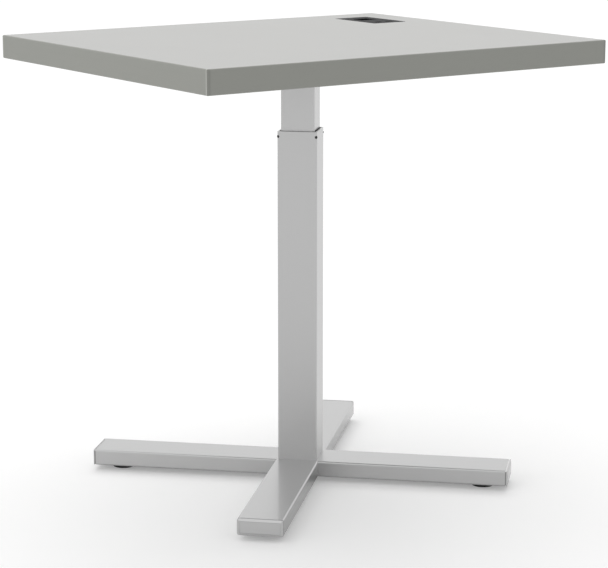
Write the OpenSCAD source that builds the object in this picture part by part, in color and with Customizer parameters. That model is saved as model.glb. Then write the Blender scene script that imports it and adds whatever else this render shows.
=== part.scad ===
// Height-adjustable standing desk: a laminated rectangular top on one square
// telescoping column, a flush four-armed base and a gas spring with a hand release.
// Millimetres, +Z up, +X to the user's right, +Y towards the back edge.
// The origin is on the floor under the column's axis, at the photographed height.

/* [Worktop] */
// Width of the top, from side to side
top_w = 762; // [600:1:1000]
// Depth of the top, from front to back
top_d = 635; // [520:1:800]
// Thickness of the top
top_t = 38; // [32:1:50]
// Height of the worktop surface above the floor
desk_h = 745; // [720:1:800]
// Thickness of the decorative laminate and of the backer sheet
laminate_t = 0.8; // [0.5:0.1:1.5]
// Thickness of the edge band
band_t = 3.2; // [2.5:0.1:5]
// Radius of the top's vertical corners
top_corner_r = 3; // [2.5:0.1:6]
// Radius of the band's long edges
band_edge_r = 2; // [0.5:0.1:2.2]

/* [Cable port] */
// Length of the port's flange, across the desk's depth
port_l = 120; // [110:1:160]
// Width of the port's flange
port_w = 70; // [64:1:100]
// Distance from the right edge to the port's centre
port_from_right = 93.4; // [80:0.1:200]
// Distance from the back edge to the port's centre
port_from_back = 122; // [100:1:200]
// Thickness of the flange
port_flange_t = 2; // [1.5:0.1:3]
// Width of the flange's seat round the liner
port_seat_w = 4; // [3:0.5:8]
// Wall of the liner
port_wall = 2.2; // [1.6:0.1:3]
// How far the liner reaches below the top
liner_drop = 14; // [10:1:20]
// Width of the opening for cables
cable_w = 32; // [24:1:40]
// Length of the opening for cables
cable_l = 30; // [24:1:40]
// Width of each charging socket's mouth
socket_w = 13; // [10:0.5:16]
// Height of each charging socket's mouth
socket_h = 6; // [4:0.5:8]
// Distance between the two sockets' centres
socket_pitch = 23; // [18:1:28]
// Distance from the port's centre back to the opening's centre
cable_offset = 18.5; // [14:0.5:26]
// Distance from the port's centre forward to the sockets' row
socket_offset = 38.5; // [34:0.5:40]

/* [Column] */
// Width across the flats of the outer tube
outer_w = 66; // [64:0.5:80]
// Wall of the outer tube
outer_wall = 2.5; // [2:0.1:3]
// Length of the outer tube
outer_len = 558; // [520:1:560]
// Width across the flats of the inner tube
inner_w = 56; // [48:0.5:58]
// Wall of the inner tube
inner_wall = 2; // [1.5:0.1:3]
// Radius of the tubes' long corners
tube_r = 3; // [2.6:0.1:5]
// Travel of the lift above the photographed height
lift_up = 300; // [150:1:305]
// Travel of the lift below the photographed height
lift_down = 75; // [40:1:75]

/* [Guides] */
// Height of the upper guide bush inside the outer tube
bush_h = 45; // [30:1:60]
// How far the bush lies below the tube's mouth
bush_drop = 0.6; // [0:0.1:3]
// Height of the lower guide shoe on the inner tube
shoe_h = 50; // [30:1:60]
// Diameter of the pegs that hold the bush
peg_d = 5; // [3:0.1:6]
// Depth of the pegs below the outer tube's mouth
peg_drop = 8.5; // [7:0.1:15]
// How far a peg's round head stands out of the tube's corner
peg_proud = 1; // [0.3:0.1:1.2]

/* [Base] */
// Distance from tip to tip of two opposite arms
base_span = 712; // [620:1:780]
// Width of an arm
arm_w = 73; // [70:0.5:90]
// Height of an arm
arm_h = 27; // [24:0.5:40]
// Wall of an arm
arm_wall = 2.2; // [1.6:0.1:3]
// Radius of an arm's long edges
arm_r = 3; // [2.5:0.1:5]
// Thickness of an end cap outside its tube
cap_t = 4.6; // [4:0.1:6]
// Depth of an end cap's plug inside its tube
cap_plug = 16; // [10:1:25]
// Width of the bevelled border on an end cap's face
cap_border = 3.8; // [1:0.1:6]
// Width of the groove between an end cap and its tube
cap_groove = 2; // [0.3:0.1:2.2]
// Depth of that groove
cap_groove_deep = 1.5; // [0.5:0.1:2]
// Width of the line cut round the flat of an end cap's face
cap_line = 0.8; // [0.4:0.1:1.2]

/* [Levelling glides] */
// Height of the base's underside above the floor with the glides screwed in
glide_h = 9; // [8.5:0.1:14]
// Diameter of a glide's pad
pad_d = 38; // [30:1:50]
// Distance from a glide's axis to the tip of its arm
glide_from_tip = 45; // [30:1:80]
// Travel of a glide, screwed out
glide_travel = 10; // [5:1:11]
// Diameter of a glide's threaded stem
stem_d = 8; // [6:0.5:8]

/* [Gas spring] */
// Outer diameter of the pressure tube
gas_d = 28; // [26:0.5:36]
// Wall of the pressure tube
gas_wall = 1.5; // [1.2:0.1:2.5]
// Diameter of the piston rod
rod_d = 10; // [8:0.5:12]
// Gas left under the piston with the desk at its lowest
piston_gap = 58; // [30:1:70]
// Length of the piston
piston_h = 20; // [10:1:30]
// Length of the rod's guide in the tube's mouth
gland_h = 28; // [15:1:30]
// Diameter of the valve's release pin
valve_pin_d = 4; // [3:0.1:5]

/* [Top bracket] */
// Depth of the folded bracket under the top
bracket_h = 30; // [28:1:36]
// Length of the bracket across the desk
bracket_len = 300; // [240:1:340]
// Width of the bracket's channel
channel_w = 120; // [100:1:160]
// Width of each of the bracket's flanges
bracket_flange = 35; // [25:1:60]
// Thickness of the bracket's sheet
bracket_t = 3; // [2:0.1:4]
// Diameter of the wood screws
screw_d = 4.6; // [4:0.1:6]
// Length of the wood screws below the head
screw_len = 28; // [16:1:30]

/* [Release lever] */
// Distance from the valve pin's axis to the lever's pivot
lever_short = 38; // [34:1:50]
// Distance from the top's right edge in to the grip's end
grip_inset = 41; // [25:1:80]
// Width of the lever's bar
lever_w = 18; // [14:1:24]
// Thickness of the lever's bar
lever_t = 5; // [4:0.5:6]
// Travel of the lever, in degrees
lever_angle = 3.2; // [2:0.1:3.4]
// Diameter of the lever's pivot pin
pivot_d = 5; // [4:0.5:6]
// Length of the grip
grip_l = 84; // [60:1:110]
// Width of the grip
grip_w = 34; // [26:1:50]
// Thickness of the grip
grip_t = 10; // [8.5:0.5:12]

/* [Hidden] */
$fn = 64;

// Clearances: between fixed pieces, round a running shaft, and between sliding flats
fit_gap = 0.05;
run_gap = 0.06;
slide_gap = 0.15;
// How far a cutting tool passes a face
over = 1;

// Colours of the finishes
c_laminate = "#cbcbc9";
c_band = "#a3a49f";
c_board = "#b59b73";
c_paint = "#bfc0bf";
c_black = "#1c1c1d";
c_guide = "#6f7072";
c_port = "#5d5d5e";
c_zinc = "#c9ccd0";
c_rubber = "#151515";

// Heights, from the floor up
arm_top = glide_h + arm_h;
tube_mouth = arm_top + outer_len;
top_under = desk_h - top_t;
web_under = top_under - bracket_h;
web_top = web_under + bracket_t;

// The column turns with the base, whose arms point at the top's corners
column_turn = 45;
outer_bore = outer_w - 2 * outer_wall;
inner_bore = inner_w - 2 * inner_wall;
bore_r = 1;
// Corners of the plastic guides, a little tighter than the tube's
guide_r = tube_r - 0.3;
// Height of the chamfer round the bush's mouth
lead_in = 1.2;
// Gap between a peg's tip and the inner tube's corner
peg_clear = 1.5;
// Height of a peg's round head
peg_dome = 1.5;

// At full lift the shoe stops this far under the bush
stop_gap = 4;
inner_foot = tube_mouth - bush_h - stop_gap - shoe_h - lift_up;
shoe_lip = 3;
// Shallow pocket in each side of the shoe, which leaves two rubbing bands
shoe_relief = 0.6;
shoe_band = 6;
inner_len = web_under - inner_foot;

// Foot of the column
foot_t = 10;
foot_top = arm_top + foot_t;
foot_bolt_d = 8;
foot_bolt_at = 20;
foot_bolt_head = 13;
foot_bolt_head_h = 5.3;
bolt_hole_gap = 0.2;
access_d = 17;

// Rod end: a bridge across the inner tube, nuts on both of its faces
bridge_t = 8;
rod_nut_h = 6;
rod_nut_w = 16;
rod_end = web_under;
rod_proud = 1;
bridge_top = rod_end - rod_nut_h - rod_proud;
bridge_under = bridge_top - bridge_t;
valve_bore_depth = 60;
valve_pin_gap = 5;
cylinder_floor_t = 8;
stud_short = 1;
// Bead rolled into the pressure tube under the rod's guide, and how far out its axis lies
bead_r = 1;
bead_out = 0.3;
bead_below = 6;
// Grooves for the guide's seal and for the piston's ring
seal_r = 1.6;
seal_out = 0.4;
piston_gap_r = 0.08;
ring_r = 1.8;
ring_out = 0.3;
// Oil passages through the piston
passage_d = 1.6;
passage_at = 0.72;

// With the desk at its lowest, the pressure tube stops this far under the lower nut
closed_gap = 6;
cylinder_top = bridge_under - rod_nut_h - lift_down - closed_gap;
gas_len = cylinder_top - foot_top;
rod_len = rod_end - lift_down - piston_gap - cylinder_floor_t - foot_top;

// Bends and snipped corners of the folded bracket, and the eye over the rod's end
bracket_eye_d = 32;
bend_r = 1.5;
bracket_snip = 14;
// Wood screws: distance of the outer ones from the bracket's ends, their holes and heads
screw_from_end = 18;
screw_hole_gap = 0.5;
screw_hole_spare = 2;
screw_head_d = 9.5;
screw_head_h = 2.6;

// Lever: its bar runs over the valve pin, its outer half is set lower
lever_nose = 9;
lever_clear = 1.4;
lever_under = web_top + (lever_short + lever_nose) * sin(lever_angle) + lever_clear;
lever_top = lever_under + lever_t;
pivot_rise = 1;
pivot_z = lever_top + pivot_rise;
pivot_r = 6;
joggle = 6;
joggle_at = 165;
joggle_run = 20;
joggle_shift = 1;
nose_chamfer = 2;
pin_top = lever_under - 0.3;
grip_end_wall = 6;
grip_corner_r = 8;
grip_edge_r = 3;
// Hollow for the fingers under the grip: its radius and its depth
finger_r = 130;
finger_depth = 1.4;
grip_end = top_w / 2 - grip_inset;
lever_reach = grip_end - grip_end_wall;
ear_t = 2.5;
ear_gap = 0.4;
ear_len = 16;
clevis_base_t = 2.5;
clevis_wing = 12;
ear_y = lever_w / 2 + ear_gap;
rivet_y = ear_y + ear_t + clevis_wing / 2;
rivet_d = 4;
rivet_head_h = 1.4;
// Pivot pin: its head, and the tail that the clip holds
pin_head_over = 1.5;
pin_head_t = 1.8;
pin_tail = 3;
clip_t = 0.8;
clip_seat = 0.9;
clip_groove = 1.2;
clip_d = pivot_d + 4.5;
clip_mouth = 3.2;
// Rubber rest under the lever
stop_from_end = 22;
stop_foot_d = 16;
stop_top_d = 12;
stop_clear = 0.1;

// Arms: their tubes stop at the end caps
tube_end = base_span / 2 - cap_t;
arm_mid = glide_h + arm_h / 2;
arm_inner_r = arm_r - arm_wall + 0.4;
cap_plug_wall = 1.8;
// Straight edge of a cap between its groove and its bevel
cap_rim = 1.3;

// Glides: one near the tip of each arm
glide_at = base_span / 2 - glide_from_tip;
insert_flange_t = 1.2;
insert_flange_r = 9;
insert_r = 6.4;
insert_len = 16;
pad_h = glide_h - insert_flange_t - 0.3;
stem_disc_r = 7;
stem_disc_t = 3;
stem_disc_z = 2.6;
socket_clear = 0.2;
neck_clear = 0.3;
// Turned outline of the pad: a straight rim, then a taper to a chamfered top
pad_rim_h = 3;
pad_taper = 2.5;
pad_chamfer = 1;
// Thread still held by the insert with the glide screwed right out
stem_engage = 11.5;
stem_top = glide_h + stem_engage + glide_travel;

// Port: its centre, its liner and its plate
port_x = top_w / 2 - port_from_right;
port_y = top_d / 2 - port_from_back;
liner_w = port_w - 2 * port_seat_w;
liner_l = port_l - 2 * port_seat_w;
liner_under = top_under - liner_drop;
port_r = 4;
liner_r = 3;
port_inner_r = port_r - port_wall;
// Clearances of the top's cut-outs round the flange and round the liner
flange_gap = 0.2;
liner_gap = 0.5;
plate_t = 2.4;
plate_gap = 0.3;
ledge_w = 2;
ledge_h = 3;
ledge_r = 1;
cable_r = 3;
plate_w = liner_w - 2 * port_wall;
plate_l = liner_l - 2 * port_wall;
socket_y = -socket_offset;
// Sockets: a sheet shell with a tongue, in a pocket of the module and a mouth of the plate
socket_shell = 0.6;
socket_r = 0.9;
socket_inner_r = 0.3;
socket_fit = 0.1;
socket_mouth_gap = 0.5;
socket_mouth_r = 1;
tongue_t = 1.8;
tongue_side = 2;
tongue_offset = 0.2;
tongue_below = 2;
module_w = 48;
module_l = 24;
module_h = 20;
module_r = 2;
inlet_d = 11;
inlet_bore_d = 7;
inlet_depth = 9;
inlet_pin_d = 2;
inlet_pin_short = 2;
clamp_w = 18;
clamp_reach = 16;
clamp_t = 1.5;
clamp_leg = 11;
clamp_screw_d = 4;
clamp_head_h = 2.2;
clamp_screw_tip = 2;

// Flat shapes

module rounded_square(w, d, r) {
    square([w - 2 * r, d], center = true);
    square([w, d - 2 * r], center = true);
    for (sx = [-1, 1], sy = [-1, 1])
        translate([sx * (w / 2 - r), sy * (d / 2 - r)]) circle(r = r);
}

module square_ring(w, wall, r, inner_r) {
    difference() {
        rounded_square(w, w, r);
        rounded_square(w - 2 * wall, w - 2 * wall, inner_r);
    }
}

// A slab with round vertical corners (rc) and round long edges (ra), standing on z = 0
module soft_slab(w, d, h, rc, ra) {
    for (sx = [-1, 1], sy = [-1, 1])
        translate([sx * (w / 2 - rc), sy * (d / 2 - rc), 0])
            rotate_extrude()
                intersection() {
                    translate([0, h / 2]) rounded_square(2 * rc, h, ra);
                    square([rc, h]);
                }
    translate([-(w / 2 - rc), 0, h / 2])
        rotate([90, 0, 90]) linear_extrude(w - 2 * rc) rounded_square(d, h, ra);
    translate([0, d / 2 - rc, h / 2])
        rotate([90, 0, 0]) linear_extrude(d - 2 * rc) rounded_square(w, h, ra);
}

// A tube along +Z, made from the ring above
module square_tube(w, wall, r, inner_r, len) {
    linear_extrude(len) square_ring(w, wall, r, inner_r);
}

module hexagon_prism(flats, h) {
    cylinder(d = flats / cos(30), h = h, $fn = 6);
}

// Places

module column_frame() {
    rotate([0, 0, column_turn]) children();
}

// Turn of each arm from the front-left corner's direction, about +Z
function arm_turn(arm) =
    arm == "back" ? 0 : arm == "left" ? 90 : arm == "front" ? 180 : 270;

module at_arm(arm) {
    column_frame() rotate([0, 0, arm_turn(arm)]) children();
}

module at_port(z) {
    translate([port_x, port_y, z]) children();
}

// Outline of a cut in the top that clears a piece of the port all round
module port_cut(w, l, gap) {
    rounded_square(w + 2 * gap, l + 2 * gap, port_r);
}

module at_foot_bolts() {
    for (sx = [-1, 1], sy = [-1, 1])
        translate([sx * foot_bolt_at, sy * foot_bolt_at, 0]) children();
}

// Screws in a row on each flange of the bracket
module at_bracket_screws() {
    edge = bracket_len / 2 - screw_from_end;
    for (sx = [-1, -1 / 3, 1 / 3, 1], sy = [-1, 1])
        translate([sx * edge, sy * (channel_w + bracket_flange) / 2, 0]) children();
}

// Worktop

module top_core() {
    core_t = top_t - 2 * laminate_t;
    color(c_board)
        difference() {
            translate([-top_w / 2 + band_t, -top_d / 2 + band_t, top_under + laminate_t])
                cube([top_w - 2 * band_t, top_d - 2 * band_t, core_t]);
            at_port(top_under - over)
                linear_extrude(top_t) port_cut(liner_w, liner_l, liner_gap);
            at_port(desk_h - port_flange_t)
                linear_extrude(top_t) port_cut(port_w, port_l, flange_gap);
            at_bracket_screws()
                translate([0, 0, top_under - over])
                    cylinder(d = screw_d + 2 * fit_gap, h = screw_len + over);
        }
}

module top_laminate() {
    color(c_laminate)
        difference() {
            translate([-top_w / 2 + band_t, -top_d / 2 + band_t, desk_h - laminate_t])
                cube([top_w - 2 * band_t, top_d - 2 * band_t, laminate_t]);
            at_port(desk_h - laminate_t - over)
                linear_extrude(laminate_t + 2 * over) port_cut(port_w, port_l, flange_gap);
        }
}

module backer_sheet() {
    color(c_band)
        difference() {
            translate([-top_w / 2 + band_t, -top_d / 2 + band_t, top_under])
                cube([top_w - 2 * band_t, top_d - 2 * band_t, laminate_t]);
            at_port(top_under - over)
                linear_extrude(laminate_t + 2 * over) port_cut(liner_w, liner_l, liner_gap);
            at_bracket_screws()
                translate([0, 0, top_under - over])
                    cylinder(d = screw_d + 2 * fit_gap, h = laminate_t + 2 * over);
        }
}

// The long bands cover the ends of the side bands, so the joint shows on the sides
module long_band(side) {
    color(c_band)
        intersection() {
            translate([0, 0, top_under])
                soft_slab(top_w, top_d, top_t, top_corner_r, band_edge_r);
            translate([-top_w / 2, side * (top_d - band_t) / 2 - band_t / 2, top_under])
                cube([top_w, band_t, top_t]);
        }
}

module side_band(side) {
    color(c_band)
        translate([side * (top_w - band_t) / 2, 0, top_under])
            rotate([90, 0, 0])
                translate([0, 0, -(top_d / 2 - band_t)])
                    linear_extrude(top_d - 2 * band_t)
                        intersection() {
                            translate([-side * top_corner_r, top_t / 2])
                                rounded_square(band_t + 2 * top_corner_r, top_t, band_edge_r);
                            translate([-band_t / 2, 0]) square([band_t, top_t]);
                        }
}

module edge_band_front() { long_band(-1); }
module edge_band_back() { long_band(1); }
module edge_band_left() { side_band(-1); }
module edge_band_right() { side_band(1); }

// Cable port

module port_liner() {
    ledge_z = desk_h - plate_t - ledge_h;
    color(c_port)
        difference() {
            union() {
                at_port(desk_h - port_flange_t)
                    linear_extrude(port_flange_t) rounded_square(port_w, port_l, port_r);
                at_port(liner_under)
                    linear_extrude(top_t + liner_drop - port_flange_t)
                        rounded_square(liner_w, liner_l, liner_r);
            }
            at_port(desk_h - plate_t)
                linear_extrude(top_t) rounded_square(plate_w, plate_l, port_inner_r);
            at_port(ledge_z - over)
                linear_extrude(top_t)
                    rounded_square(plate_w - 2 * ledge_w, plate_l - 2 * ledge_w, ledge_r);
            at_port(liner_under - over)
                linear_extrude(ledge_z - liner_under + over)
                    rounded_square(plate_w, plate_l, port_inner_r);
            at_clamp_screws()
                translate([0, 0, -over])
                    cylinder(d = clamp_screw_d + 2 * fit_gap, h = port_wall + 2 * over);
        }
}

// One screw through the liner's wall at each end, pointing inwards from its outer face
module at_clamp_screws() {
    for (turn = [0, 180])
        at_port(top_under - clamp_leg / 2 - clamp_t / 2)
            rotate([0, 0, turn]) translate([0, liner_l / 2, 0]) rotate([90, 0, 0]) children();
}

module socket_row() {
    for (side = [-1, 1])
        translate([side * socket_pitch / 2, socket_y, 0]) children();
}

module socket_outline(gap, r) {
    rounded_square(socket_w + 2 * gap, socket_h + 2 * gap, r);
}

module port_plate() {
    color(c_port)
        difference() {
            at_port(desk_h - plate_t)
                linear_extrude(plate_t)
                    rounded_square(plate_w - plate_gap, plate_l - plate_gap, port_inner_r);
            at_port(desk_h - plate_t - over)
                linear_extrude(plate_t + 2 * over)
                    union() {
                        translate([0, cable_offset]) rounded_square(cable_w, cable_l, cable_r);
                        socket_row() socket_outline(socket_mouth_gap, socket_mouth_r);
                    }
        }
}

module charging_module() {
    color(c_black)
        difference() {
            at_port(desk_h - plate_t - module_h)
                translate([0, socket_y, 0])
                    linear_extrude(module_h) rounded_square(module_w, module_l, module_r);
            at_port(desk_h - plate_t - module_h / 2)
                linear_extrude(module_h)
                    socket_row() socket_outline(socket_fit, socket_mouth_r);
        }
}

module charging_sockets() {
    depth = module_h / 2;
    color(c_zinc)
        at_port(desk_h - plate_t - depth)
            socket_row() {
                difference() {
                    linear_extrude(depth) socket_outline(0, socket_r);
                    translate([0, 0, socket_shell])
                        linear_extrude(depth) socket_outline(-socket_shell, socket_inner_r);
                }
                translate([-socket_w / 2 + tongue_side, tongue_offset, socket_shell])
                    cube([socket_w - 2 * tongue_side, tongue_t, depth - tongue_below]);
            }
}

module power_inlet() {
    color(c_black)
        at_port(desk_h - plate_t - module_h - inlet_depth)
            translate([0, socket_y, 0]) {
                difference() {
                    cylinder(d = inlet_d, h = inlet_depth);
                    translate([0, 0, -over]) cylinder(d = inlet_bore_d, h = inlet_depth);
                }
                translate([0, 0, inlet_pin_short])
                    cylinder(d = inlet_pin_d, h = inlet_depth - inlet_pin_short);
            }
}

// An angle at each end of the liner, pulled up under the top
module port_clamps() {
    color(c_zinc)
        difference() {
            for (turn = [0, 180])
                at_port(0)
                    rotate([0, 0, turn])
                        translate([-clamp_w / 2, liner_l / 2, 0]) {
                            translate([0, 0, top_under - clamp_t]) cube([clamp_w, clamp_reach, clamp_t]);
                            translate([0, 0, top_under - clamp_leg]) cube([clamp_w, clamp_t, clamp_leg]);
                        }
            at_clamp_screws()
                translate([0, 0, -clamp_t - over])
                    cylinder(d = clamp_screw_d + 2 * fit_gap, h = clamp_t + 2 * over);
        }
}

module clamp_screws() {
    shank = clamp_t + port_wall + clamp_screw_tip;
    color(c_zinc)
        at_clamp_screws()
            translate([0, 0, -clamp_t - clamp_head_h]) {
                cylinder(d = 2 * clamp_screw_d, h = clamp_head_h);
                cylinder(d = clamp_screw_d, h = clamp_head_h + shank);
            }
}

// Column

module outer_tube() {
    color(c_paint)
        column_frame()
            difference() {
                translate([0, 0, arm_top])
                    square_tube(outer_w, outer_wall, tube_r, bore_r, outer_len);
                at_guide_pegs() cylinder(d = peg_d + 2 * fit_gap, h = outer_w);
            }
}

// The pegs lie on the column's four long corners and point outwards
module at_guide_pegs() {
    for (turn = [0 : 90 : 270])
        rotate([0, 0, 45 + turn])
            translate([0, 0, tube_mouth - peg_drop]) rotate([0, 90, 0]) children();
}

module inner_tube() {
    color(c_paint)
        column_frame()
            translate([0, 0, inner_foot])
                square_tube(inner_w, inner_wall, tube_r, bore_r, inner_len);
}

module foot_plate() {
    side = outer_bore - 2 * fit_gap;
    color(c_zinc)
        column_frame()
            difference() {
                translate([0, 0, arm_top]) linear_extrude(foot_t) rounded_square(side, side, bore_r);
                at_foot_bolts()
                    translate([0, 0, arm_top - over])
                        cylinder(d = foot_bolt_d + 2 * fit_gap, h = foot_t + 2 * over);
                translate([0, 0, arm_top - over])
                    cylinder(d = rod_d + 2 * fit_gap, h = foot_t + 2 * over);
            }
}

module foot_bolts() {
    head_z = arm_top - arm_wall - foot_bolt_head_h;
    color(c_zinc)
        column_frame()
            at_foot_bolts() {
                translate([0, 0, head_z]) hexagon_prism(foot_bolt_head, foot_bolt_head_h);
                translate([0, 0, head_z]) cylinder(d = foot_bolt_d, h = foot_top - head_z);
            }
}

module upper_guide() {
    outside = outer_bore - 2 * fit_gap;
    inside = inner_w + 2 * slide_gap;
    color(c_guide)
        column_frame()
            difference() {
                translate([0, 0, tube_mouth - bush_h])
                    linear_extrude(bush_h - bush_drop) rounded_square(outside, outside, bore_r);
                translate([0, 0, tube_mouth - bush_h - over])
                    linear_extrude(bush_h + 2 * over) rounded_square(inside, inside, guide_r);
                for (turn = [0 : 90 : 270])
                    rotate([0, 0, turn])
                        translate([inside / 2, inside / 2 - tube_r, tube_mouth - bush_drop])
                            rotate([90, 0, 0])
                                linear_extrude(inside - 2 * tube_r)
                                    polygon([
                                        [-over, -lead_in],
                                        [0, -lead_in],
                                        [lead_in / 2, 0],
                                        [-over, 0]
                                    ]);
                at_guide_pegs() cylinder(d = peg_d + 2 * fit_gap, h = outer_w);
            }
}

module guide_pegs() {
    corner = outer_w / sqrt(2) - tube_r * (sqrt(2) - 1);
    inner_corner = inner_w / sqrt(2) - tube_r * (sqrt(2) - 1);
    start = inner_corner + peg_clear;
    dome_r = (pow(peg_d / 2, 2) + pow(peg_dome, 2)) / (2 * peg_dome);
    color(c_black)
        column_frame()
            at_guide_pegs()
                intersection() {
                    translate([0, 0, start]) cylinder(d = peg_d, h = corner + peg_proud - start);
                    union() {
                        cylinder(d = outer_w, h = corner + peg_proud - peg_dome);
                        translate([0, 0, corner + peg_proud - dome_r]) sphere(r = dome_r);
                    }
                }
}

module lower_guide() {
    outside = outer_bore - 2 * slide_gap;
    inside = inner_w + 2 * fit_gap;
    color(c_guide)
        column_frame()
            difference() {
                translate([0, 0, inner_foot - shoe_lip])
                    linear_extrude(shoe_h + shoe_lip) rounded_square(outside, outside, bore_r);
                translate([0, 0, inner_foot])
                    linear_extrude(shoe_h + over) rounded_square(inside, inside, guide_r);
                translate([0, 0, inner_foot - shoe_lip - over])
                    linear_extrude(shoe_h) rounded_square(inner_bore, inner_bore, bore_r);
                for (turn = [0 : 90 : 270])
                    rotate([0, 0, turn])
                        translate([outside / 2 - shoe_relief, -outside / 8, inner_foot + shoe_band])
                            cube([over + shoe_relief, outside / 4, shoe_h - 2 * shoe_band]);
            }
}

// Gas spring

module gas_cylinder() {
    stud = foot_t - stud_short;
    color(c_black)
        difference() {
            union() {
                translate([0, 0, foot_top]) cylinder(d = gas_d, h = gas_len);
                translate([0, 0, foot_top - stud]) cylinder(d = rod_d, h = stud + over);
            }
            translate([0, 0, foot_top + cylinder_floor_t])
                cylinder(d = gas_d - 2 * gas_wall, h = gas_len);
            translate([0, 0, cylinder_top - gland_h - bead_below])
                rotate_extrude() translate([gas_d / 2 + bead_out, 0]) circle(r = bead_r);
        }
}

module rod_guide() {
    outer_r = gas_d / 2 - gas_wall - fit_gap;
    color(c_zinc)
        translate([0, 0, cylinder_top - gland_h])
            difference() {
                cylinder(r = outer_r, h = gland_h);
                translate([0, 0, -over]) cylinder(d = rod_d + 2 * run_gap, h = gland_h + 2 * over);
                translate([0, 0, gland_h / 2])
                    rotate_extrude() translate([outer_r + seal_out, 0]) circle(r = seal_r);
            }
}

module piston_rod() {
    color(c_zinc)
        translate([0, 0, rod_end - rod_len])
            difference() {
                cylinder(d = rod_d, h = rod_len);
                translate([0, 0, rod_len - valve_bore_depth])
                    cylinder(d = valve_pin_d + 2 * run_gap, h = valve_bore_depth + over);
            }
}

module gas_piston() {
    r = gas_d / 2 - gas_wall - piston_gap_r;
    color(c_black)
        translate([0, 0, rod_end - rod_len])
            difference() {
                cylinder(r = r, h = piston_h);
                translate([0, 0, -over]) cylinder(d = rod_d + 2 * fit_gap, h = piston_h + 2 * over);
                translate([0, 0, piston_h / 2])
                    rotate_extrude() translate([r + ring_out, 0]) circle(r = ring_r);
                for (turn = [0 : 60 : 300])
                    rotate([0, 0, turn])
                        translate([r * passage_at, 0, -over])
                            cylinder(d = passage_d, h = piston_h + 2 * over);
            }
}

module valve_pin() {
    pin_foot = rod_end - valve_bore_depth + valve_pin_gap;
    color(c_zinc)
        translate([0, 0, pin_foot]) cylinder(d = valve_pin_d, h = pin_top - pin_foot);
}

module rod_nuts() {
    color(c_zinc)
        for (z = [bridge_under - rod_nut_h, bridge_top])
            translate([0, 0, z])
                difference() {
                    hexagon_prism(rod_nut_w, rod_nut_h);
                    translate([0, 0, -over])
                        cylinder(d = rod_d + 2 * fit_gap, h = rod_nut_h + 2 * over);
                }
}

module rod_bridge() {
    side = inner_bore - 2 * fit_gap;
    color(c_zinc)
        column_frame()
            difference() {
                translate([0, 0, bridge_under])
                    linear_extrude(bridge_t) rounded_square(side, side, bore_r);
                translate([0, 0, bridge_under - over])
                    cylinder(d = rod_d + 2 * fit_gap, h = bridge_t + 2 * over);
            }
}

// Bracket under the top

// One half of the folded sheet, from its middle out: web, bend, wall, bend, flange
module bracket_half() {
    half = channel_w / 2;
    outer_r = bend_r + bracket_t;
    square([half - outer_r, bracket_t]);
    translate([half - outer_r, outer_r]) bend(-90);
    translate([half - bracket_t, outer_r]) square([bracket_t, bracket_h - 2 * outer_r]);
    translate([half + bend_r, bracket_h - outer_r]) bend(90);
    translate([half + bend_r, bracket_h - bracket_t]) square([bracket_flange - bend_r, bracket_t]);
}

// A quarter of a ring, centred on the bend's axis
module bend(turn) {
    r = bend_r + bracket_t;
    rotate(turn)
        intersection() {
            difference() {
                circle(r = r);
                circle(r = bend_r);
            }
            square([r, r]);
        }
}

module bracket_profile() {
    bracket_half();
    mirror([1, 0]) bracket_half();
}

module top_bracket() {
    color(c_paint)
        difference() {
            translate([-bracket_len / 2, 0, web_under])
                rotate([90, 0, 90]) linear_extrude(bracket_len) bracket_profile();
            translate([0, 0, web_under - over]) cylinder(d = bracket_eye_d, h = bracket_t + 2 * over);
            at_bracket_screws()
                translate([0, 0, top_under - bracket_t - over])
                    cylinder(d = screw_d + 2 * screw_hole_gap, h = bracket_t + 2 * over);
            for (sy = [-1, 1])
                translate([lever_short, sy * rivet_y, web_under - over])
                    cylinder(d = rivet_d + 2 * fit_gap, h = bracket_t + 2 * over);
            for (sx = [-1, 1], sy = [-1, 1])
                translate([sx * bracket_len / 2, sy * (channel_w / 2 + bracket_flange), top_under])
                    rotate([0, 0, 45])
                        cube([bracket_snip, bracket_snip, 2 * (bracket_t + over)], center = true);
        }
}

module bracket_screws() {
    head_z = top_under - bracket_t - screw_head_h;
    color(c_zinc)
        at_bracket_screws() {
            translate([0, 0, head_z]) cylinder(d = screw_head_d, h = screw_head_h);
            translate([0, 0, head_z])
                cylinder(d = screw_d, h = top_under + screw_len - screw_hole_spare - head_z);
        }
}

// Release lever

module lever_clevis() {
    wings = 2 * (ear_y + ear_t + clevis_wing);
    color(c_zinc)
        difference() {
            union() {
                translate([lever_short - ear_len / 2, -wings / 2, web_top])
                    cube([ear_len, wings, clevis_base_t]);
                for (sy = [-1, 1])
                    translate([lever_short, sy * (ear_y + ear_t / 2) + ear_t / 2, web_top])
                        rotate([90, 0, 0])
                            linear_extrude(ear_t)
                                union() {
                                    translate([-ear_len / 2, 0])
                                        square([ear_len, pivot_z - web_top]);
                                    translate([0, pivot_z - web_top]) circle(d = ear_len);
                                }
            }
            translate([lever_short, wings / 2, pivot_z])
                rotate([90, 0, 0]) cylinder(d = pivot_d + 2 * fit_gap, h = wings);
            for (sy = [-1, 1])
                translate([lever_short, sy * rivet_y, web_top - over])
                    cylinder(d = rivet_d + 2 * fit_gap, h = clevis_base_t + 2 * over);
        }
}

module clevis_rivets() {
    head_z = web_under - rivet_head_h;
    color(c_zinc)
        for (sy = [-1, 1])
            translate([lever_short, sy * rivet_y, 0]) {
                translate([0, 0, head_z]) cylinder(d = 2 * rivet_d, h = rivet_head_h);
                translate([0, 0, head_z])
                    cylinder(d = rivet_d, h = 2 * rivet_head_h + bracket_t + clevis_base_t);
                translate([0, 0, web_top + clevis_base_t])
                    cylinder(d = 2 * rivet_d, h = rivet_head_h);
            }
}

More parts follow.
